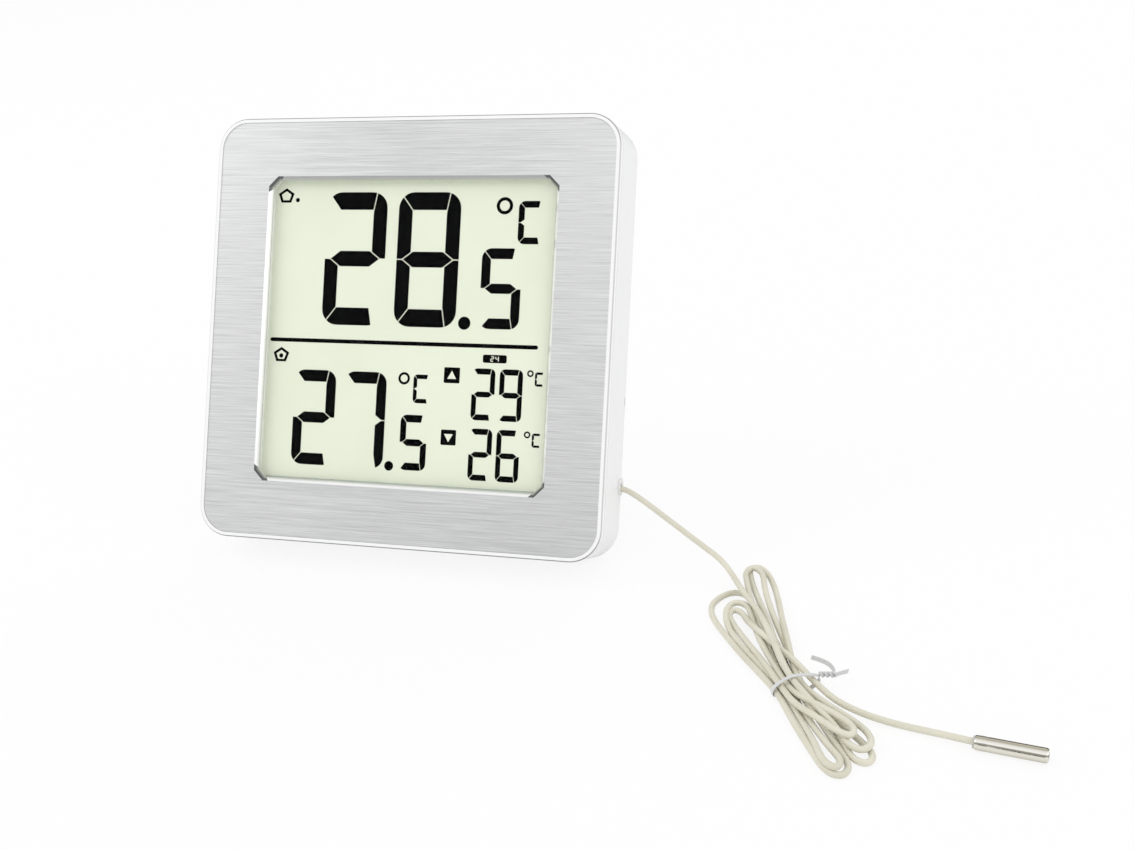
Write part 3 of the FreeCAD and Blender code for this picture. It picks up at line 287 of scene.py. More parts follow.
class Finish:
    """The nodes of one material or of the world."""

    def __init__(self, owner):
        owner.use_nodes = True
        self.owner = owner
        self.tree = owner.node_tree
        self.tree.nodes.clear()

    def add(self, kind, settings=None, sockets=None, output=0):
        """Adds a node: its settings first, then its sockets' values or links."""
        node = self.tree.nodes.new(kind)
        for name, value in (settings or {}).items():
            if name == "stops":
                self.set_stops(node.color_ramp, value)
            else:
                setattr(node, name, value)
        for key, value in (sockets or {}).items():
            self.feed(self.find(node.inputs, key), value)
        return Signal(self, self.find(node.outputs, output))

    def maths(self, operation, *terms):
        return self.add("ShaderNodeMath", {"operation": operation}, dict(enumerate(terms)))

    def find(self, sockets, key):
        if isinstance(key, int):
            return sockets[key]
        return next(s for s in sockets if key in (s.identifier, s.name))

    def feed(self, socket, value):
        if isinstance(value, Signal):
            self.tree.links.new(value.socket, socket)
        else:
            socket.default_value = value

    def set_stops(self, ramp, stops):
        while len(ramp.elements) < len(stops):
            ramp.elements.new(1.0)
        for element, (place, colour) in zip(ramp.elements, stops):
            element.position = place
            element.color = (*colour, 1.0)

    def blend(self, share, first, second):
        """A colour between two, by share."""
        return self.add("ShaderNodeMix", {"data_type": "RGBA"},
                        {"Factor_Float": share, "A_Color": first, "B_Color": second},
                        "Result_Color")

    def place(self):
        return self.add("ShaderNodeTexCoord", output="Object")

    def along(self, direction):
        """How far a place lies along a direction, in metres from the world's origin."""
        return self.add("ShaderNodeVectorMath", {"operation": "DOT_PRODUCT"},
                        {0: self.place(), 1: tuple(direction)}, "Value")

    def vector(self, x, y, z):
        return self.add("ShaderNodeCombineXYZ", None, {0: x, 1: y, 2: z})

    def noise(self, where, scale, detail=2.0, roughness=0.5):
        return self.add("ShaderNodeTexNoise", None,
                        {"Vector": where, "Scale": scale, "Detail": detail,
                         "Roughness": roughness})

    def stretch(self, signal, low, high, to_low, to_high):
        """The signal's low to high as to_low to to_high, held at both ends."""
        return self.add("ShaderNodeMapRange", {"clamp": True},
                        {"Value": signal, "From Min": low, "From Max": high,
                         "To Min": to_low, "To Max": to_high})

    def spread(self, noise, to_low, to_high):
        """The same for noise, which seldom leaves its middle, 0.3 to 0.7."""
        return self.stretch(noise, 0.3, 0.7, to_low, to_high)

    def bump(self, height, strength, distance):
        return self.add("ShaderNodeBump", None,
                        {"Height": height, "Strength": strength, "Distance": distance})

    def surface(self, **sockets):
        """The main shader, with its sockets named in words, such as base_color."""
        named = {key.replace("_", " ").title().replace("Ior", "IOR"): value
                 for key, value in sockets.items()}
        return self.add("ShaderNodeBsdfPrincipled", None, named)

    def mix(self, share, first, second):
        return self.add("ShaderNodeMixShader", None, {0: share, 1: first, 2: second})

    def show(self, shader):
        """Ends the nodes in an output, and returns the finished material or world."""
        kind = "World" if self.owner.id_type == "WORLD" else "Material"
        end = self.tree.nodes.new(f"ShaderNodeOutput{kind}")
        self.feed(end.inputs["Surface"], shader)
        return self.owner


def new_finish(name):
    return Finish(bpy.data.materials.new(name))


WHITE = (1.0, 1.0, 1.0, 1.0)
print("signals and finishes ready")

# %% Surroundings
ROOM_LIGHT = 0.96


def looked_at(finish):
    """1 where the camera, a reflection or clear plastic looks straight at a thing."""
    rays = [finish.add("ShaderNodeLightPath", output=name)
            for name in ("Is Camera Ray", "Is Glossy Ray", "Is Transmission Ray")]
    return finish.maths("MINIMUM", rays[0] + rays[1] + rays[2], 1.0)


world = bpy.data.worlds.new("room")
bpy.context.scene.world = world
room = Finish(world)
room_strength = ROOM_LIGHT + (1.0 - ROOM_LIGHT) * looked_at(room)
room.show(room.add("ShaderNodeBackground", None, {"Color": WHITE, "Strength": room_strength}))
print("room light", ROOM_LIGHT)

# %% Table
TABLE_HALF = 3.0
TABLE_GLOW = 0.86


def finished_mesh(name, shape):
    """The mesh of a worked shape, which is let go."""
    mesh = bpy.data.meshes.new(name)
    shape.to_mesh(mesh)
    shape.free()
    return mesh


def lay_sheet(name, half, stuff, place=(0.0, 0.0, 0.0), turn=0.0):
    """A flat sheet of the setting: half its width and height, its middle and its tilt."""
    shape = bmesh.new()
    bmesh.ops.create_grid(shape, x_segments=1, y_segments=1, size=1.0)
    bmesh.ops.scale(shape, vec=(*half, 1.0), verts=shape.verts)
    bmesh.ops.rotate(shape, verts=shape.verts, matrix=Matrix.Rotation(turn, 3, "X"))
    bmesh.ops.translate(shape, vec=place, verts=shape.verts)
    mesh = finished_mesh(name, shape)
    mesh.materials.append(stuff)
    put(name, mesh)
    print(name, "reaches", half, "m from", place)


table_top = new_finish("table_top")
paper = table_top.add("ShaderNodeBsdfDiffuse", None, {"Color": (0.9, 0.9, 0.9, 1.0)})
glow = table_top.add("ShaderNodeEmission", None, {"Color": WHITE, "Strength": 1.0})
share = TABLE_GLOW * looked_at(table_top)
glowing = table_top.mix(share, paper, glow)
lay_sheet("table", (TABLE_HALF, TABLE_HALF), table_top.show(glowing))

# %% [markdown]
# ## Dark cards
# A polished tube in a white room has nothing dark to mirror, and looks flat. Two long
# low cards stand before and behind the object. Dark lines painted on the tube would look
# right from one side only, so the cards are there, but only mirror-like surfaces see them;
# the tube also has bands of painted reflection.

# %% Cards of dark felt
CARDS = [("front_card", (-0.05, -1.3, 0.17), (0.35, 0.16)),
         ("back_card", (0.3, 1.5, 0.50), (1.6, 0.45))]

felt = new_finish("dark_felt")
mirrored = felt.add("ShaderNodeLightPath", output="Is Glossy Ray")
unseen = felt.add("ShaderNodeBsdfTransparent")
dark = felt.add("ShaderNodeBsdfDiffuse", None, {"Color": (0.03, 0.03, 0.03, 1.0)})
dark_felt = felt.show(felt.mix(mirrored, unseen, dark))

for name, place, half in CARDS:
    lay_sheet(name, half, dark_felt, place, math.pi / 2)

# %% [markdown]
# ## Lamps
# Three square lamps: the key from the upper left, a weaker one from the right, and one
# from behind for the edges. Small ones would do, but large ones light pale plastic softly.

# %% Three lamps
LAMPS = [("key", (-1.5, -0.55, 1.3), 0.9, 4.5), ("fill", (1.3, -0.5, 0.75), 0.8, 1.6),
         ("back", (0.2, 1.2, 0.9), 0.8, 0.8)]

for name, place, width, power in LAMPS:
    lamp_data = bpy.data.lights.new(name, "AREA")
    lamp_data.shape = "SQUARE"
    lamp_data.size = width
    lamp_data.energy = power
    lamp = put(name, lamp_data)
    lamp.location = place
    lamp.rotation_euler = (FRONT_MIDDLE - Vector(place)).to_track_quat("-Z", "Y").to_euler()
    print("lamp", name, power, "W")

bpy.context.scene.view_settings.view_transform = "Standard"

# %% [markdown]
# ## Finishes of the front
# The plate is brushed from side to side. Noise that is stretched far across gives its
# long fine lines, which change both its tone and how rough it is, and painted light
# makes its tone lighter towards its sides, the more so higher up. The slope round the
# window is cut after brushing, so it has no lines and mirrors the room; its corners and
# upper side turn away from the light, and painted shade darkens them, while a painted
# grey-green shade and reflection of the display darkens the slope nearest the display.
# The window is nearly clear. Its two faces would trap slanting light if both mirrored it
# by the book, so its shine grows with the slant alone.

# %% Places on the face, and the stuffs by name
def face_places(finish):
    """Signals across, up and into the face, in millimetres from its middle."""
    middle = [FRONT_MIDDLE.dot(way) for way in (ACROSS, UP, OUT)]
    across = (finish.along(ACROSS) - middle[0]) / MM
    up = (finish.along(UP) - middle[1]) / MM
    depth = (middle[2] - finish.along(OUT)) / MM
    return across, up, depth


def face_noise(finish, scale):
    """Noise that lies still on the face; its scale is in parts of a millimetre."""
    return finish.noise(finish.vector(*face_places(finish)), scale)


stuffs = {}


def finish_by(*makers):
    """Each maker fills the nodes of the stuff that it is named after."""
    for maker in makers:
        stuffs[maker.__name__] = maker(new_finish(maker.__name__))
        print("finish", maker.__name__)


print("the face's ways:", ACROSS, UP, OUT)

# %% Brushed and polished aluminium
ALUMINIUM = (0.785, 0.787, 0.79, 1.0)
ALUMINIUM_DULL = (0.505, 0.508, 0.512, 1.0)
PAINTED_SIDE_LIGHT = 0.0013
PAINTED_SIDE_LIGHT_FROM = 90.0
PAINTED_SIDE_LIGHT_OVER = 140.0
POLISHED = (0.93, 0.93, 0.935, 1.0)
SLOPE_FROM = 0.29
FOOT_FROM = 0.75
FOOT_TO = 1.35
PAINTED_SLOPE_SHADE = (0.42, 0.425, 0.43, 1.0)
PAINTED_FOOT_SHADE = (0.50, 0.53, 0.44, 1.0)
PAINTED_FACET_SHADE = (0.10, 0.103, 0.108, 1.0)
FACET_REACH = 82.3
SLOPE_METAL = 0.4


def brushed_aluminium(finish):
    across, up, depth = face_places(finish)
    streaks = finish.noise(finish.vector(across * 0.02, up * 1.7, 0.0), 1.0, 5.0, 0.75)
    fine = finish.noise(finish.vector(across * 0.06, up * 8.5, 4.0), 1.0, 3.0, 0.7)
    lines = 0.42 * streaks + 0.58 * fine
    slope = depth > SLOPE_FROM
    # Painted light: the plate's tone is made lighter towards its sides, the more so higher up.
    painted_side_light = abs(across) * (up + PAINTED_SIDE_LIGHT_FROM) / PAINTED_SIDE_LIGHT_OVER * PAINTED_SIDE_LIGHT
    shade = finish.stretch(lines + painted_side_light, 0.38, 0.62, 0.0, 1.0)
    tone = finish.blend(shade, ALUMINIUM_DULL, ALUMINIUM)
    roughness = finish.stretch(lines, 0.35, 0.65, 0.44, 0.33)
    normal = finish.bump(lines, 0.12, 0.00002)
    brushed = finish.surface(base_color=tone, metallic=1.0, roughness=roughness, normal=normal)
    sheen = finish.spread(face_noise(finish, 0.08), 0.16, 0.22)
    # Painted shade: the slope's corner facets and its upper side are given darker colours.
    facet = (abs(across) + abs(up)) > FACET_REACH
    upper = finish.stretch(up - abs(across), 0.0, 1.0, 0.0, 1.0)
    cut = finish.blend(facet, finish.blend(upper, POLISHED, PAINTED_SLOPE_SHADE), PAINTED_FACET_SHADE)
    # Painted shade and painted reflection of the display: the slope turns grey-green as it nears
    # the display.
    painted_foot_share = finish.stretch(depth, FOOT_FROM, FOOT_TO, 0.0, 1.0)
    polished = finish.surface(base_color=finish.blend(painted_foot_share, cut, PAINTED_FOOT_SHADE),
                              metallic=SLOPE_METAL, roughness=sheen)
    return finish.show(finish.mix(slope, brushed, polished))


finish_by(brushed_aluminium)

# %% Window and display
LIQUID_CRYSTAL = (0.838, 0.888, 0.730, 1.0)
LIQUID_CRYSTAL_DEEP = (0.800, 0.852, 0.690, 1.0)


def clear_window(finish):
    smear = face_noise(finish, 0.06)
    slant = finish.add("ShaderNodeLayerWeight", None, {"Blend": 0.5}, "Facing")
    glance = 0.002 + 0.35 * slant * slant * slant * slant
    clear = finish.add("ShaderNodeBsdfTransparent")
    shine = finish.add("ShaderNodeBsdfGlossy", None,
                       {"Color": WHITE, "Roughness": finish.spread(smear, 0.03, 0.06)})
    return finish.show(finish.mix(glance, clear, shine))


def display_film(finish):
    cloud = face_noise(finish, 0.04)
    grain = face_noise(finish, 9.0)
    tone = finish.blend(finish.spread(cloud, 0.0, 1.0),
                        LIQUID_CRYSTAL_DEEP, LIQUID_CRYSTAL)
    return finish.show(finish.surface(
        base_color=tone, roughness=finish.spread(grain, 0.46, 0.54),
        specular_ior_level=0.2))


def figure_black(finish):
    grain = face_noise(finish, 6.0)
    tone = finish.blend(grain, (0.0008, 0.0008, 0.0009, 1.0), (0.0018, 0.0018, 0.002, 1.0))
    return finish.show(finish.surface(base_color=tone, roughness=0.6, specular_ior_level=0.01))


finish_by(clear_window, display_film, figure_black)

# %% [markdown]
# ## Finishes of plastic, rubber, metal and wire
# Most other pieces are one stuff each: a colour, a fine grain, a little mottle, and a
# skin that is matt or shiny. They differ in their numbers and not in kind, so one
# function makes them all. Pieces with something more to show, such as the cells'
# printed bands or the board's tracks, have a function of their own.

# %% A plain stuff
def grained(name, colour, other, grain, roughness, metallic=0.0, bump=0.1, sheen=0.5):
    """A colour mottled with another; grain is the size of its texture in millimetres."""
    finish = new_finish(name)
    where = finish.place()
    fine = finish.noise(where, 1000.0 / grain, 4.0, 0.6)
    broad = finish.noise(where, 60.0, 2.0, 0.5)
    mottle = finish.stretch(0.5 * fine + 0.5 * broad, 0.35, 0.65, 0.0, 1.0)
    tone = finish.blend(mottle, (*colour, 1.0), (*other, 1.0))
    rough = finish.spread(fine, roughness - 0.05, roughness + 0.05)
    normal = finish.bump(fine, bump, grain * MM * 0.1)
    return finish.show(finish.surface(base_color=tone, metallic=metallic, roughness=rough,
                                      specular_ior_level=sheen, normal=normal))


# The colour and the colour that mottles it, then grain, roughness, metal, bump and sheen;
# the last three are left out where they are the usual ones.
STUFFS = {
    "white_abs": ((0.86, 0.862, 0.865), (0.88, 0.882, 0.885), 0.5, 0.42),
    "display_glass": ((0.60, 0.66, 0.62), (0.64, 0.70, 0.66), 2.0, 0.10, 0.0, 0.02),
    "elastomer": ((0.35, 0.10, 0.12), (0.05, 0.05, 0.06), 0.6, 0.60, 0.0, 0.10, 0.4),
    "white_frame": ((0.78, 0.78, 0.77), (0.82, 0.82, 0.81), 0.6, 0.50, 0.0, 0.10, 0.4),
    "screw_steel": ((0.62, 0.62, 0.60), (0.52, 0.52, 0.50), 0.3, 0.28, 1.0, 0.15),
    "epoxy_black": ((0.012, 0.012, 0.013), (0.02, 0.02, 0.022), 1.0, 0.22, 0.0, 0.20),
    "component_metal": ((0.66, 0.66, 0.66), (0.56, 0.56, 0.57), 0.3, 0.30, 1.0),
    "component_dark": ((0.04, 0.035, 0.03), (0.07, 0.06, 0.05), 0.4, 0.45, 0.0, 0.15, 0.4),
    "switch_black": ((0.02, 0.02, 0.022), (0.03, 0.03, 0.032), 0.4, 0.38, 0.0, 0.15),
    "grey_button": ((0.33, 0.34, 0.35), (0.37, 0.38, 0.39), 0.5, 0.48, 0.0, 0.15, 0.4),
    "contact_nickel": ((0.70, 0.68, 0.63), (0.60, 0.58, 0.54), 0.3, 0.26, 1.0),
    "grommet_pale": ((0.78, 0.78, 0.77), (0.85, 0.85, 0.84), 0.4, 0.55, 0.0, 0.20, 0.4),
    "tie_grey": ((0.64, 0.645, 0.65), (0.72, 0.722, 0.725), 0.4, 0.35, 0.0, 0.20),
    "probe_seal": ((0.50, 0.49, 0.46), (0.58, 0.57, 0.54), 0.4, 0.50, 0.0, 0.15, 0.4),
}
stuffs.update({name: grained(name, *numbers) for name, numbers in STUFFS.items()})
print("plain stuffs", len(STUFFS))

# %% [markdown]
# ## The board, the cells and the wires
# The board is green lacquer over copper tracks, the cells wear a printed jacket, and
# each pair of wires has a red and a black one. Meshes for tracks and print would be
# finer than the eye needs, so bands placed along the face's directions draw them.

# %% Board, cells and wires
BAND_FROM = 10.4
BAND_TO = 10.6
JACKET_HALF = 21.4


def across_face(finish):
    """How far a place lies to the right of the face's middle, in millimetres."""
    return (finish.along(ACROSS) - FRONT_MIDDLE.dot(ACROSS)) / MM


def board_green(finish):
    """Green lacquer, with copper tracks faintly raised under it."""
    across, up, depth = face_places(finish)
    rows = finish.add("ShaderNodeTexWave", {"bands_direction": "X"},
                      {"Vector": finish.vector(across, up, depth), "Scale": 0.45,
                       "Distortion": 2.5, "Detail": 0.0})
    tracks = finish.stretch(rows, 0.62, 0.68, 0.0, 1.0)
    tone = finish.blend(tracks, (0.012, 0.11, 0.035, 1.0), (0.03, 0.22, 0.07, 1.0))
    normal = finish.bump(tracks, 0.3, 0.00003)
    return finish.show(finish.surface(base_color=tone, roughness=0.3, normal=normal))


def cell_jacket(finish):
    """A plain printed jacket: dark with one coppery end, and bare steel at the ends."""
    along = across_face(finish)
    band = finish.stretch(along, BAND_FROM, BAND_TO, 0.0, 1.0)
    bare = abs(along) > JACKET_HALF
    grain = finish.noise(finish.place(), 900.0)
    print_tone = finish.blend(band, (0.02, 0.021, 0.024, 1.0), (0.42, 0.19, 0.07, 1.0))
    tone = finish.blend(bare, print_tone, (0.62, 0.61, 0.58, 1.0))
    return finish.show(finish.surface(
        base_color=tone, metallic=finish.stretch(bare + band, 0.0, 1.0, 0.0, 1.0),
        roughness=finish.spread(grain, 0.26, 0.34)))


def lead_wire(finish):
    """Insulation in two colours, one each side of the middle of the pair."""
    grain = finish.noise(finish.place(), 500.0)
    along = across_face(finish)
    side = finish.stretch(along, -1.0, 1.0, 0.0, 1.0)
    red = finish.blend(grain, (0.42, 0.02, 0.02, 1.0), (0.52, 0.035, 0.03, 1.0))
    black = finish.blend(grain, (0.015, 0.015, 0.016, 1.0), (0.03, 0.03, 0.032, 1.0))
    return finish.show(finish.surface(
        base_color=finish.blend(side, black, red), roughness=finish.spread(grain, 0.4, 0.5)))


finish_by(board_green, cell_jacket, lead_wire)

# %% [markdown]
# ## The rim
# The rim is the white frame round the metal plate. Where it meets the case, a fine joint
# catches a shadow, which shows as a thin line round the front's outer edge. It could be
# a groove in the mesh, but it is as fine as a hair, so a narrow painted shadow does.

# %% The white rim
RIM_STRAIGHT = 51.0
RIM_CORNER = 9.0
EDGE_LINE = 0.3
EDGE_DEPTH = 0.45


def rim_white(finish):
    """Glossy white, with a narrow line of painted shadow at its outer edge, darker at the ends
    than the sides.
    """
    across, up, depth = face_places(finish)
    over_across = finish.maths("MAXIMUM", abs(across) - RIM_STRAIGHT, 0.0)
    over_up = finish.maths("MAXIMUM", abs(up) - RIM_STRAIGHT, 0.0)
    out = finish.maths("SQRT", over_across * over_across + over_up * over_up)
    # Painted shadow of the joint: a narrow darker line round the outer edge, darker at the top
    # and bottom than at the sides.
    edge = (out > RIM_CORNER - EDGE_LINE) * (depth < EDGE_DEPTH)
    grain = finish.noise(finish.place(), 1200.0, 3.0, 0.6)
    white = finish.blend(grain, (0.89, 0.89, 0.895, 1.0), (0.93, 0.93, 0.935, 1.0))
    line = finish.blend(finish.stretch(over_up, 0.0, RIM_CORNER, 0.0, 1.0),
                        (0.60, 0.60, 0.61, 1.0), (0.22, 0.22, 0.23, 1.0))
    tone = finish.blend(edge, white, line)
    return finish.show(finish.surface(
        base_color=tone, roughness=finish.spread(grain, 0.18, 0.26)))


finish_by(rim_white)

# %% [markdown]
# ## The cord's sheath and the probe's steel
# The sheath is soft cream plastic. The probe is drawn steel, and polished metal is known
# by its bands: light and dark reflections along a tube. The cards give it some. Painted
# reflection gives the rest: a tone that changes with the way each strip of the tube
# faces. Fine lines run round it from polishing.

# %% Sheath and steel
def cord_cream(finish):
    """Soft sheath, faintly rough, whose cream wanders a little from place to place."""
    fine = finish.noise(finish.place(), 2500.0, 3.0, 0.6)
    broad = finish.noise(finish.place(), 90.0, 2.0, 0.5)
    tone = finish.blend(finish.spread(broad, 0.0, 1.0),
                        (0.67, 0.645, 0.53, 1.0), (0.75, 0.725, 0.61, 1.0))
    return finish.show(finish.surface(
        base_color=tone, roughness=finish.spread(fine, 0.36, 0.46),
        normal=finish.bump(fine, 0.15, 0.00003)))


PROBE_TURN = math.radians(-8.0)
PROBE_WAY = Vector((math.cos(PROBE_TURN), math.sin(PROBE_TURN), 0.0))
TOP_OF_PAINTED_BANDS = (0.0, 0.59, 0.807)
PAINTED_REFLECTION_BANDS = [(0.0, (0.34, 0.31, 0.24)), (0.2, (0.42, 0.39, 0.30)), (0.3, (0.80, 0.78, 0.71)),
         (0.46, (0.96, 0.95, 0.90)), (0.52, (0.26, 0.235, 0.18)), (0.57, (0.26, 0.235, 0.18)),
         (0.63, (0.84, 0.81, 0.73)), (0.84, (0.76, 0.73, 0.64)), (1.0, (0.46, 0.43, 0.35))]


def probe_steel(finish):
    """Drawn steel: light and dark bands of painted reflection lie along the tube, and fine lines
    run round it.
    """
    # Painted reflection: the colour follows the way the surface faces, in light and dark bands.
    facing = finish.add("ShaderNodeNewGeometry", output="Normal")
    rise = finish.add("ShaderNodeVectorMath", {"operation": "DOT_PRODUCT"},
                      {0: facing, 1: TOP_OF_PAINTED_BANDS}, "Value")
    bands = finish.add("ShaderNodeValToRGB", {"stops": PAINTED_REFLECTION_BANDS}, {"Fac": 0.5 - 0.5 * rise}, "Color")
    along = finish.along(PROBE_WAY) / MM
    lines = finish.noise(finish.vector(along * 9.0, 0.0, 0.0), 1.0, 4.0, 0.6)
    tone = finish.blend(0.25 * lines, bands, (0.6, 0.59, 0.56, 1.0))
    return finish.show(finish.surface(
        base_color=tone, metallic=1.0, roughness=finish.spread(lines, 0.16, 0.26)))


finish_by(cord_cream, probe_steel)
sensor_cord.data.materials.append(stuffs["cord_cream"])
print("all stuffs", len(stuffs))

# %% [markdown]
# ## Dressing the hard pieces
# Every piece of the frame wears one stuff. The list goes by stuff and not by piece, so
# pieces made from the same stock stay together.

# %% Each hard piece takes its stuff
WEARS = {
    "white_abs": "rear_case fold_out_stand battery_door",
    "rim_white": "front_bezel",
    "brushed_aluminium": "fascia_plate",
    "clear_window": "window_lens",
    "display_film": "front_polariser display_reflector",
    "display_glass": "display_front_glass display_rear_glass",
    "elastomer": "zebra_strip",
    "white_frame": "display_holder",
    "board_green": "circuit_board",
    "screw_steel": "board_screws case_screws",
    "epoxy_black": "controller_blob",
    "component_metal": "timing_crystal board_passives",
    "component_dark": "smoothing_capacitor indoor_thermistor probe_thermistor",
    "switch_black": "tact_switches unit_switch_body unit_switch_knob",
    "grey_button": "button_max button_min button_reset",
    "cell_jacket": "battery_lower battery_upper",
    "contact_nickel": "battery_contacts battery_springs",
    "lead_wire": "battery_leads sensor_leads",
    "grommet_pale": "cord_grommet cord_clamp",
    "cord_cream": "sensor_cord_lead cord_hank sensor_cord_tail",
    "tie_grey": "twist_tie",
    "probe_steel": "probe_sleeve",
    "probe_seal": "probe_plug probe_potting",
}
for stuff, wearers in WEARS.items():
    for wearer in wearers.split():
        nodes[wearer].data.materials.clear()
        nodes[wearer].data.materials.append(stuffs[stuff])
dressed = " ".join(WEARS.values()).split()
print("pieces with no finish:", sorted(set(nodes) - set(dressed)))

# %% [markdown]
# ## Figures on the display
# A liquid crystal figure is not a letter from a font. It is one rounded oblong that
# narrow gaps divide into seven segments, with the middle bar pointed at both ends. So
# each segment is made the same way: the whole oblong is cut along the lines that
# bound that segment, and what is left is given a hair's thickness. Six numbers set
# the character of a figure: its width and height, how thick its upright, level and
# middle segments are, and the gap between them.

# %% Shapes and pieces
DISPLAY_DEPTH = 3.44
PALE_DEPTH = 3.40
DISPLAY_SHIFT = Vector((-1.45, 0.45))
DISPLAY_SPREAD = 1.0085
FILM_THICKNESS = 0.03


def gather(whole, part, placing=Matrix.Identity(4)):
    """Adds a worked part to a whole, placed, and lets the part go."""
    bmesh.ops.transform(part, matrix=placing, verts=part.verts)
    carrier = finished_mesh("carrier", part)
    whole.from_mesh(carrier)
    bpy.data.meshes.remove(carrier)


def make_piece(name, shape, stuff, body="case"):
    """Turns a worked shape, in metres and in its place, into a piece riding on a body."""
    bmesh.ops.remove_doubles(shape, verts=shape.verts, dist=0.0000005)
    bmesh.ops.recalc_face_normals(shape, faces=shape.faces)
    mesh = finished_mesh(name, shape)
    mesh.materials.append(stuffs[stuff])
    piece = put(name, mesh)
    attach(piece, body)
    return piece


def thicken(plate, thickness):
    """Gives a flat plate its thickness, upwards."""
    made = bmesh.ops.extrude_face_region(plate, geom=plate.faces[:])
    tops = [item for item in made["geom"] if isinstance(item, bmesh.types.BMVert)]
    bmesh.ops.translate(plate, vec=(0, 0, thickness), verts=tops)
    return plate


def rounded_plate(width, height, corner):
    """A flat oblong with round corners; its lower left corner is at the origin."""
    plate = bmesh.new()
    bmesh.ops.create_grid(plate, x_segments=1, y_segments=1, size=0.5)
    bmesh.ops.scale(plate, vec=(width, height, 1), verts=plate.verts)
    bmesh.ops.translate(plate, vec=(width / 2, height / 2, 0), verts=plate.verts)
    bmesh.ops.bevel(plate, geom=plate.verts[:], affect="VERTICES", offset=corner,
                    segments=6, profile=0.5, material=-1)
    return plate


def trim(plate, place, outward, shift=0.0):
    """Cuts away what lies beyond a line; shift moves the line back first."""
    way = Vector((*outward, 0)).normalized()
    bmesh.ops.bisect_plane(plate, geom=plate.verts[:] + plate.edges[:] + plate.faces[:],
                           plane_co=Vector((*place, 0)) - way * shift, plane_no=way,
                           clear_outer=True)


def laid(across, up, depth):
    """Carries a plate drawn in millimetres to a place parallel to the face."""
    return FACE @ Matrix.Scale(MM, 4) @ Matrix.Translation((across, up, -depth))


def on_display(across, up, depth=DISPLAY_DEPTH):
    """The same, for a place on the display's own field of figures."""
    spot = Vector((across, up)) * DISPLAY_SPREAD + DISPLAY_SHIFT
    return laid(spot.x, spot.y, depth) @ Matrix.Diagonal((DISPLAY_SPREAD, DISPLAY_SPREAD, 1, 1))


print("the figures' field starts at", on_display(0, 0).translation)

# %% One segment
ROUNDING = 1.1
DIAGONAL = 0.293
LEAN_IN = 0.22
TIP = 0.40
SHOULDER = 1.10


def segment(which, width, height, upright, level, bar, gap):
    """One segment of a figure, as a thin plate in the figure's own place."""
    corner = ROUNDING * upright
    nook = DIAGONAL * corner
    half = height / 2
    plate = rounded_plate(width, height, corner)
    inner_left = (upright, height - level)
    left_way = Vector((level - nook, upright - nook))
    inner_right = (width - upright, height - level)
    right_way = Vector((level, -LEAN_IN * upright))
    slope = (SHOULDER - TIP) * upright
    left_tip, left_rise = (TIP * upright, half), Vector((-bar / 2, slope))
    right_tip, right_rise = (width - TIP * upright, half), Vector((bar / 2, slope))
    back = gap / 2
    if which in "ad":
        trim(plate, inner_left, (0, -1))
        trim(plate, inner_left, -left_way, back)
        trim(plate, inner_right, right_way, back)
    elif which in "bcfe":
        inner, inwards, way, tip, rise = (
            (inner_right, -1, -right_way, right_tip, right_rise) if which in "bc" else
            (inner_left, 1, left_way, left_tip, left_rise))
        trim(plate, inner, (inwards, 0))
        trim(plate, (0, half + back), (0, -1))
        trim(plate, inner, way, back)
        trim(plate, tip, -rise, back)
    else:
        trim(plate, (0, half + bar / 2), (0, 1))
        trim(plate, (0, half - bar / 2), (0, -1))
        for tip, rise in ((left_tip, left_rise), (right_tip, right_rise)):
            trim(plate, tip, rise, back)
            trim(plate, tip, (rise.x, -rise.y), back)
    if which in "cde":
        bmesh.ops.scale(plate, vec=(1, -1, 1), verts=plate.verts)
        bmesh.ops.translate(plate, vec=(0, height, 0), verts=plate.verts)
    return thicken(plate, FILM_THICKNESS)


print("a segment's corners are rounded by", ROUNDING, "of its width")

# %% Whole figures
LIT = {"2": "abged", "4": "fgbc", "5": "afgcd", "6": "afedcg", "7": "abc",
       "8": "abcdefg", "9": "abcdfg", "C": "afed"}


def figure(whole, sign, left, bottom, sizes, depth=DISPLAY_DEPTH):
    for which in LIT[sign]:
        gather(whole, segment(which, *sizes), on_display(left, bottom, depth))


def disc(sides, radius, hole=0.0, turn=0.0, stretch=(1.0, 1.0)):
    """A flat disc, or a ring if it has a hole. Three sides make an arrow, and five a house."""
    plate = bmesh.new()
    bmesh.ops.create_circle(plate, cap_ends=True, segments=sides, radius=radius)
    if hole:
        rim = bmesh.ops.inset_region(plate, faces=plate.faces[:], thickness=radius - hole,
                                     use_even_offset=True, use_boundary=True)["faces"]
        bmesh.ops.delete(plate, geom=[face for face in plate.faces if face not in rim],
                         context="FACES")
    bmesh.ops.rotate(plate, verts=plate.verts, matrix=Matrix.Rotation(turn, 3, "Z"))
    bmesh.ops.scale(plate, vec=(*stretch, 1), verts=plate.verts)
    return plate


def dot(whole, across, up, radius, sides=24, depth=DISPLAY_DEPTH, turn=0.0):
    gather(whole, thicken(disc(sides, radius, turn=turn), FILM_THICKNESS),
           on_display(across, up, depth))


def ring(whole, across, up, radius, hole, sides=32, turn=0.0, stretch=(1.0, 1.0)):
    gather(whole, thicken(disc(sides, radius, hole, turn, stretch), FILM_THICKNESS),
           on_display(across, up))


def oblong(whole, left, bottom, width, height, corner):
    gather(whole, thicken(rounded_plate(width, height, corner), FILM_THICKNESS),
           on_display(left, bottom))


print("signs that can be shown:", " ".join(LIT))

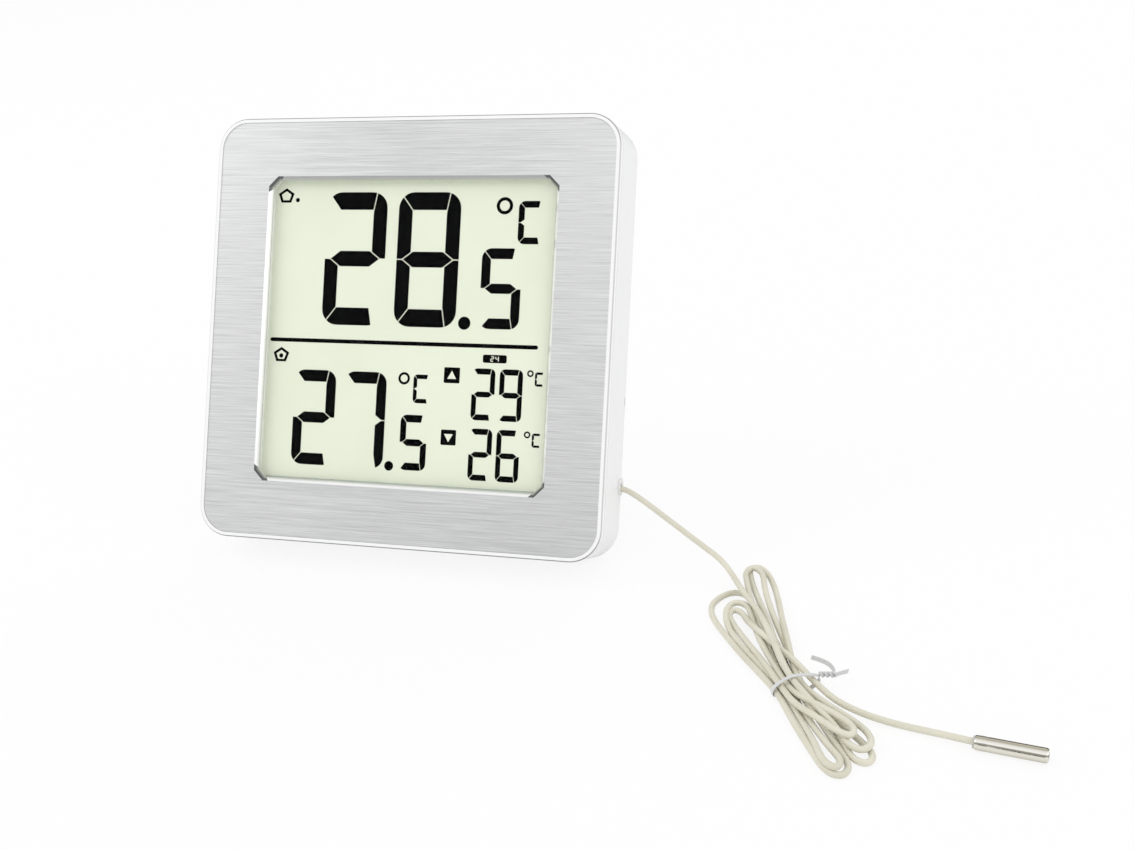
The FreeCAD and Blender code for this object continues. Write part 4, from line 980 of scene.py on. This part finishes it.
# %% [markdown]
# ## The readings
# The outdoor reading is the largest, then the indoor one, then the highest and lowest;
# every tenth is smaller than its degrees. A figure is placed by its lower left corner, a
# dot or ring by its middle. Each reading is a piece of its own, so it can be swapped.

# %% Four readings and the line between them
LARGE = (18.4, 37.3, 4.1, 4.9, 4.3, 0.28)
LARGE_TENTHS = (11.5, 22.0, 2.6, 2.9, 2.7, 0.22)
LARGE_C = (7.4, 11.7, 1.7, 1.8, 1.7, 0.15)
MIDDLE = (12.8, 26.7, 2.9, 3.25, 3.0, 0.24)
MIDDLE_TENTHS = (7.9, 15.3, 1.75, 2.05, 1.9, 0.18)
MIDDLE_C = (5.1, 7.9, 1.1, 1.2, 1.1, 0.12)
SMALL = (6.6, 14.1, 1.4, 1.6, 1.5, 0.16)
SMALL_C = (2.7, 3.8, 0.58, 0.62, 0.6, 0.06)

READINGS = {
    "outdoor_reading": [
        (figure, "2", -24.6, 1.3, LARGE), (figure, "8", -2.7, 1.3, LARGE), (dot, 18.3, 2.7, 1.8),
        (figure, "5", 22.5, 1.3, LARGE_TENTHS), (ring, 28.3, 34.9, 2.35, 1.45),
        (figure, "C", 32.4, 24.5, LARGE_C)],
    "indoor_reading": [
        (figure, "2", -31.9, -38.3, MIDDLE), (figure, "7", -16.5, -38.3, MIDDLE),
        (dot, -1.8, -37.4, 1.33), (figure, "5", 1.1, -38.3, MIDDLE_TENTHS),
        (ring, 1.46, -13.0, 1.72, 1.05), (figure, "C", 4.3, -19.7, MIDDLE_C)],
    "highest_reading": [
        (figure, "2", 21.5, -23.6, SMALL), (figure, "9", 29.4, -23.6, SMALL),
        (ring, 38.05, -10.4, 0.92, 0.5), (figure, "C", 39.4, -13.8, SMALL_C)],
    "lowest_reading": [
        (figure, "2", 21.5, -40.0, SMALL), (figure, "6", 29.4, -40.0, SMALL),
        (ring, 38.0, -26.9, 0.92, 0.5), (figure, "C", 39.4, -30.25, SMALL_C)],
    "display_divider": [(oblong, -40.3, -3.89, 80.1, 1.1, 0.54)],
}


def draw_piece(name, parts, stuff="figure_black"):
    """Draws the parts of one piece in turn, and finishes it."""
    whole = bmesh.new()
    for draw, *numbers in parts:
        draw(whole, *numbers)
    make_piece(name, whole, stuff)
    print(name, "has", len(parts), "parts")


for name, parts in READINGS.items():
    draw_piece(name, parts)

# %% [markdown]
# ## The marks
# The marks are plain signs: a house with a dot outside it or inside it, an arrow up or
# down, and 24 for the day. A pale mark on a black square is the display showing through
# a hole; a pale piece a hair nearer the reader looks the same, and needs no hole cut.

# %% Black and pale marks
UPWARDS = 0.0
DOWNWARDS = math.pi
DAY = (1.0, 1.5, 0.24, 0.24, 0.24, 0.03)

HOUSE = (2.45, 1.72, 5, UPWARDS, (1.05, 0.92))
MARKS = [(ring, -37.6, 37.5, *HOUSE), (dot, -34.0, 36.4, 0.62),
         (ring, -36.6, -7.7, *HOUSE), (dot, -36.6, -7.9, 0.62),
         (oblong, 13.2, -13.8, 4.6, 4.3, 0.3), (oblong, 13.2, -30.8, 4.4, 4.2, 0.3),
         (oblong, 24.25, -7.9, 6.85, 2.2, 0.5)]
PALE_MARKS = [(dot, 15.5, -11.9, 1.5, 3, PALE_DEPTH, UPWARDS),
              (dot, 15.4, -28.5, 1.5, 3, PALE_DEPTH, DOWNWARDS),
              (figure, "2", 26.45, -7.55, DAY, PALE_DEPTH),
              (figure, "4", 27.85, -7.55, DAY, PALE_DEPTH)]

draw_piece("display_marks", MARKS)
draw_piece("display_pale_marks", PALE_MARKS, "display_film")

# %% [markdown]
# ## Marks on the back
# The three buttons on the back need telling apart. Raised signs beside them, in the
# buttons' own grey, do it without words: up for the highest reading, down for the
# lowest, and a ring for clearing both.

# %% Raised signs
CASE_DEPTH = 22.0
SIGN_ACROSS = -34.5
SIGN_UPS = (2.0, -14.0, -30.0)
SIGN_HEIGHT = 0.25
SIGNS = {"sign_highest": (3, 1.9, 0.0, UPWARDS), "sign_lowest": (3, 1.9, 0.0, DOWNWARDS),
         "sign_clear": (32, 1.7, 1.1, UPWARDS)}

for (name, drawn), up in zip(SIGNS.items(), SIGN_UPS):
    sign = thicken(disc(*drawn), SIGN_HEIGHT)
    placing = laid(SIGN_ACROSS, up, CASE_DEPTH + SIGN_HEIGHT)
    bmesh.ops.transform(sign, matrix=placing, verts=sign.verts)
    make_piece(name, sign, "grey_button")
print("signs made:", ", ".join(SIGNS))

# %% [markdown]
# ## The twist tie
# A twist tie is a flat strip of pale plastic with a wire in it. It goes once round the
# hank, its two halves are twisted together beside it, and the two ends stick out and
# hook as they were left. The loop is a closed line widened into a strip; the twisted
# pair is a small section turned as it is drawn along; the ends are short strips.

# %% The loop round the hank
STRIP_WIDTH = 1.3
STRIP_PINCH = 0.3
STRIP_THICKNESS = 0.25 * MM
LOOP_LINE = [(-6.9, 0.15), (-7.5, 1.2), (-6.8, 2.8), (-4.4, 4.3), (-2.2, 5.1), (0.6, 4.8),
             (3.4, 4.4), (4.4, 3.4), (4.2, 2.1), (2.7, 1.0), (1.4, 0.14), (-3.0, 0.14)]


def hank_point(along, across, height):
    """A place for the tie, all in millimetres."""
    return by_hank(along, across, height * MM)


def flat_line(places, order=4, closed=False):
    """A smooth line with no thickness, as a worked shape of edges."""
    line = smooth_line("tie_line", places, order, 6, closed)
    mesh = mesh_of(line)
    shape = bmesh.new()
    shape.from_mesh(mesh)
    bpy.data.curves.remove(line)
    bpy.data.meshes.remove(mesh)
    return shape


def widen(shape, sideways, width):
    """Turns a line into a strip, width millimetres wide, centred on the line."""
    step = sideways * width * MM
    bmesh.ops.translate(shape, vec=-step / 2, verts=shape.verts)
    made = bmesh.ops.extrude_edge_only(shape, edges=shape.edges[:])
    ends = [item for item in made["geom"] if isinstance(item, bmesh.types.BMVert)]
    bmesh.ops.translate(shape, vec=step, verts=ends)


def give_body(shape):
    """Gives a strip its thickness; its edges are cut square."""
    bmesh.ops.recalc_face_normals(shape, faces=shape.faces)
    bmesh.ops.solidify(shape, geom=shape.faces[:] + shape.edges[:] + shape.verts[:],
                       thickness=STRIP_THICKNESS)


loop = flat_line([hank_point(0, *place) for place in LOOP_LINE], order=3, closed=True)
widen(loop, ALONG_HANK, STRIP_WIDTH)
for vertex in loop.verts:
    rise = min(max(vertex.co.z / MM - 2.0, 0.0) / 1.5, 1.0)
    off = (vertex.co - TIE).dot(ALONG_HANK)
    vertex.co -= ALONG_HANK * off * STRIP_PINCH * rise
give_body(loop)
print("the tie's loop has", len(loop.faces), "faces")

# %% The twisted pair and the two ends
TWIST_FROM = hank_point(-0.3, 4.2, 3.9)
TWIST_TO = hank_point(-0.9, 8.4, 2.7)
TWIST_TURNS = 1.75
STEPS_A_TURN = 16
PAIR_APART = 0.42 * MM
PAIR_WIDTH = 0.9 * MM
HOOKED_END = [(-0.9, 8.2, 2.6), (-1.6, 8.7, 2.9), (-3.2, 8.6, 3.3), (-5.0, 7.9, 3.5),
              (-6.6, 6.6, 3.6), (-8.0, 5.0, 3.7)]
STRAIGHT_END = [(-0.9, 8.2, 2.5), (-1.3, 9.2, 2.5), (-1.3, 10.4, 2.7), (-1.1, 11.6, 2.9)]
END_WIDTH = 1.1

way = TWIST_TO - TWIST_FROM
section_turn = way.to_track_quat("Z", "Y").to_matrix().to_4x4()
pair = bmesh.new()
for side in (-1, 1):
    made = bmesh.ops.create_grid(pair, x_segments=1, y_segments=1, size=0.5)["verts"]
    bmesh.ops.scale(pair, vec=(PAIR_WIDTH, STRIP_THICKNESS * 1.4, 1), verts=made)
    bmesh.ops.translate(pair, vec=(0, side * PAIR_APART, 0), verts=made)
section_turn.translation = TWIST_FROM
bmesh.ops.transform(pair, matrix=section_turn, verts=pair.verts)
steps = round(TWIST_TURNS * STEPS_A_TURN)
bmesh.ops.spin(pair, geom=pair.verts[:] + pair.edges[:] + pair.faces[:], cent=TWIST_FROM,
               axis=way.normalized(), dvec=way / steps, angle=TWIST_TURNS * 2 * math.pi,
               steps=steps)

tie = bmesh.new()
gather(tie, loop)
gather(tie, pair)
for places in (HOOKED_END, STRAIGHT_END):
    end = flat_line([hank_point(*place) for place in places])
    widen(end, Vector((0.25, 0.1, 0.96)).normalized(), END_WIDTH)
    give_body(end)
    gather(tie, end)
twist_tie = make_piece("twist_tie_strip", tie, "tie_grey")
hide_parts("twist_tie")
print("twist tie made")

# %% [markdown]
# ## The probe
# The sensor sits in a short steel tube, drawn shut to a round-edged end. A tube is a
# turned shape: its wall is drawn once as a thin outline and spun round its axis. The
# mouth is drawn in a little, and a shallow rolled groove behind it holds the plug.

# %% The probe's tube
MOUTH = Vector((156.2, -86.322, 1.65)) * MM
TUBE_RADIUS = 1.65
TUBE_WALL = 0.2
TUBE_FROM = 0.4
TUBE_TO = 15.6
TUBE_SIDES = 48
OUTER_WALL = [(TUBE_FROM, 1.50), (0.50, 1.58), (0.70, 1.62), (1.30, 1.62), (1.50, TUBE_RADIUS),
              (2.60, TUBE_RADIUS), (2.80, 1.60), (3.10, 1.60), (3.30, TUBE_RADIUS),
              (14.90, TUBE_RADIUS), (15.15, 1.61), (15.38, 1.50), (15.52, 1.33),
              (TUBE_TO, 1.10), (TUBE_TO, 0.0)]
INNER_WALL = [(TUBE_TO - TUBE_WALL, 0.0), (TUBE_TO - TUBE_WALL, 1.10), (15.2, 1.38),
              (1.50, 1.42), (TUBE_FROM, 1.42)]

tube = bmesh.new()
corners = [tube.verts.new((radius, 0, along)) for along, radius in OUTER_WALL + INNER_WALL]
edges = [tube.edges.new(pair) for pair in zip(corners, corners[1:] + corners[:1])]
bmesh.ops.spin(tube, geom=corners + edges, cent=(0, 0, 0), axis=(0, 0, 1),
               angle=2 * math.pi, steps=TUBE_SIDES, use_merge=True)
tube_placing = PROBE_WAY.to_track_quat("Z", "Y").to_matrix().to_4x4() @ Matrix.Scale(MM, 4)
tube_placing.translation = MOUTH
bmesh.ops.transform(tube, matrix=tube_placing, verts=tube.verts)
probe_tube = make_piece("probe_tube", tube, "probe_steel")
for face in probe_tube.data.polygons:
    face.use_smooth = True
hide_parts("probe_sleeve")
print("probe made")
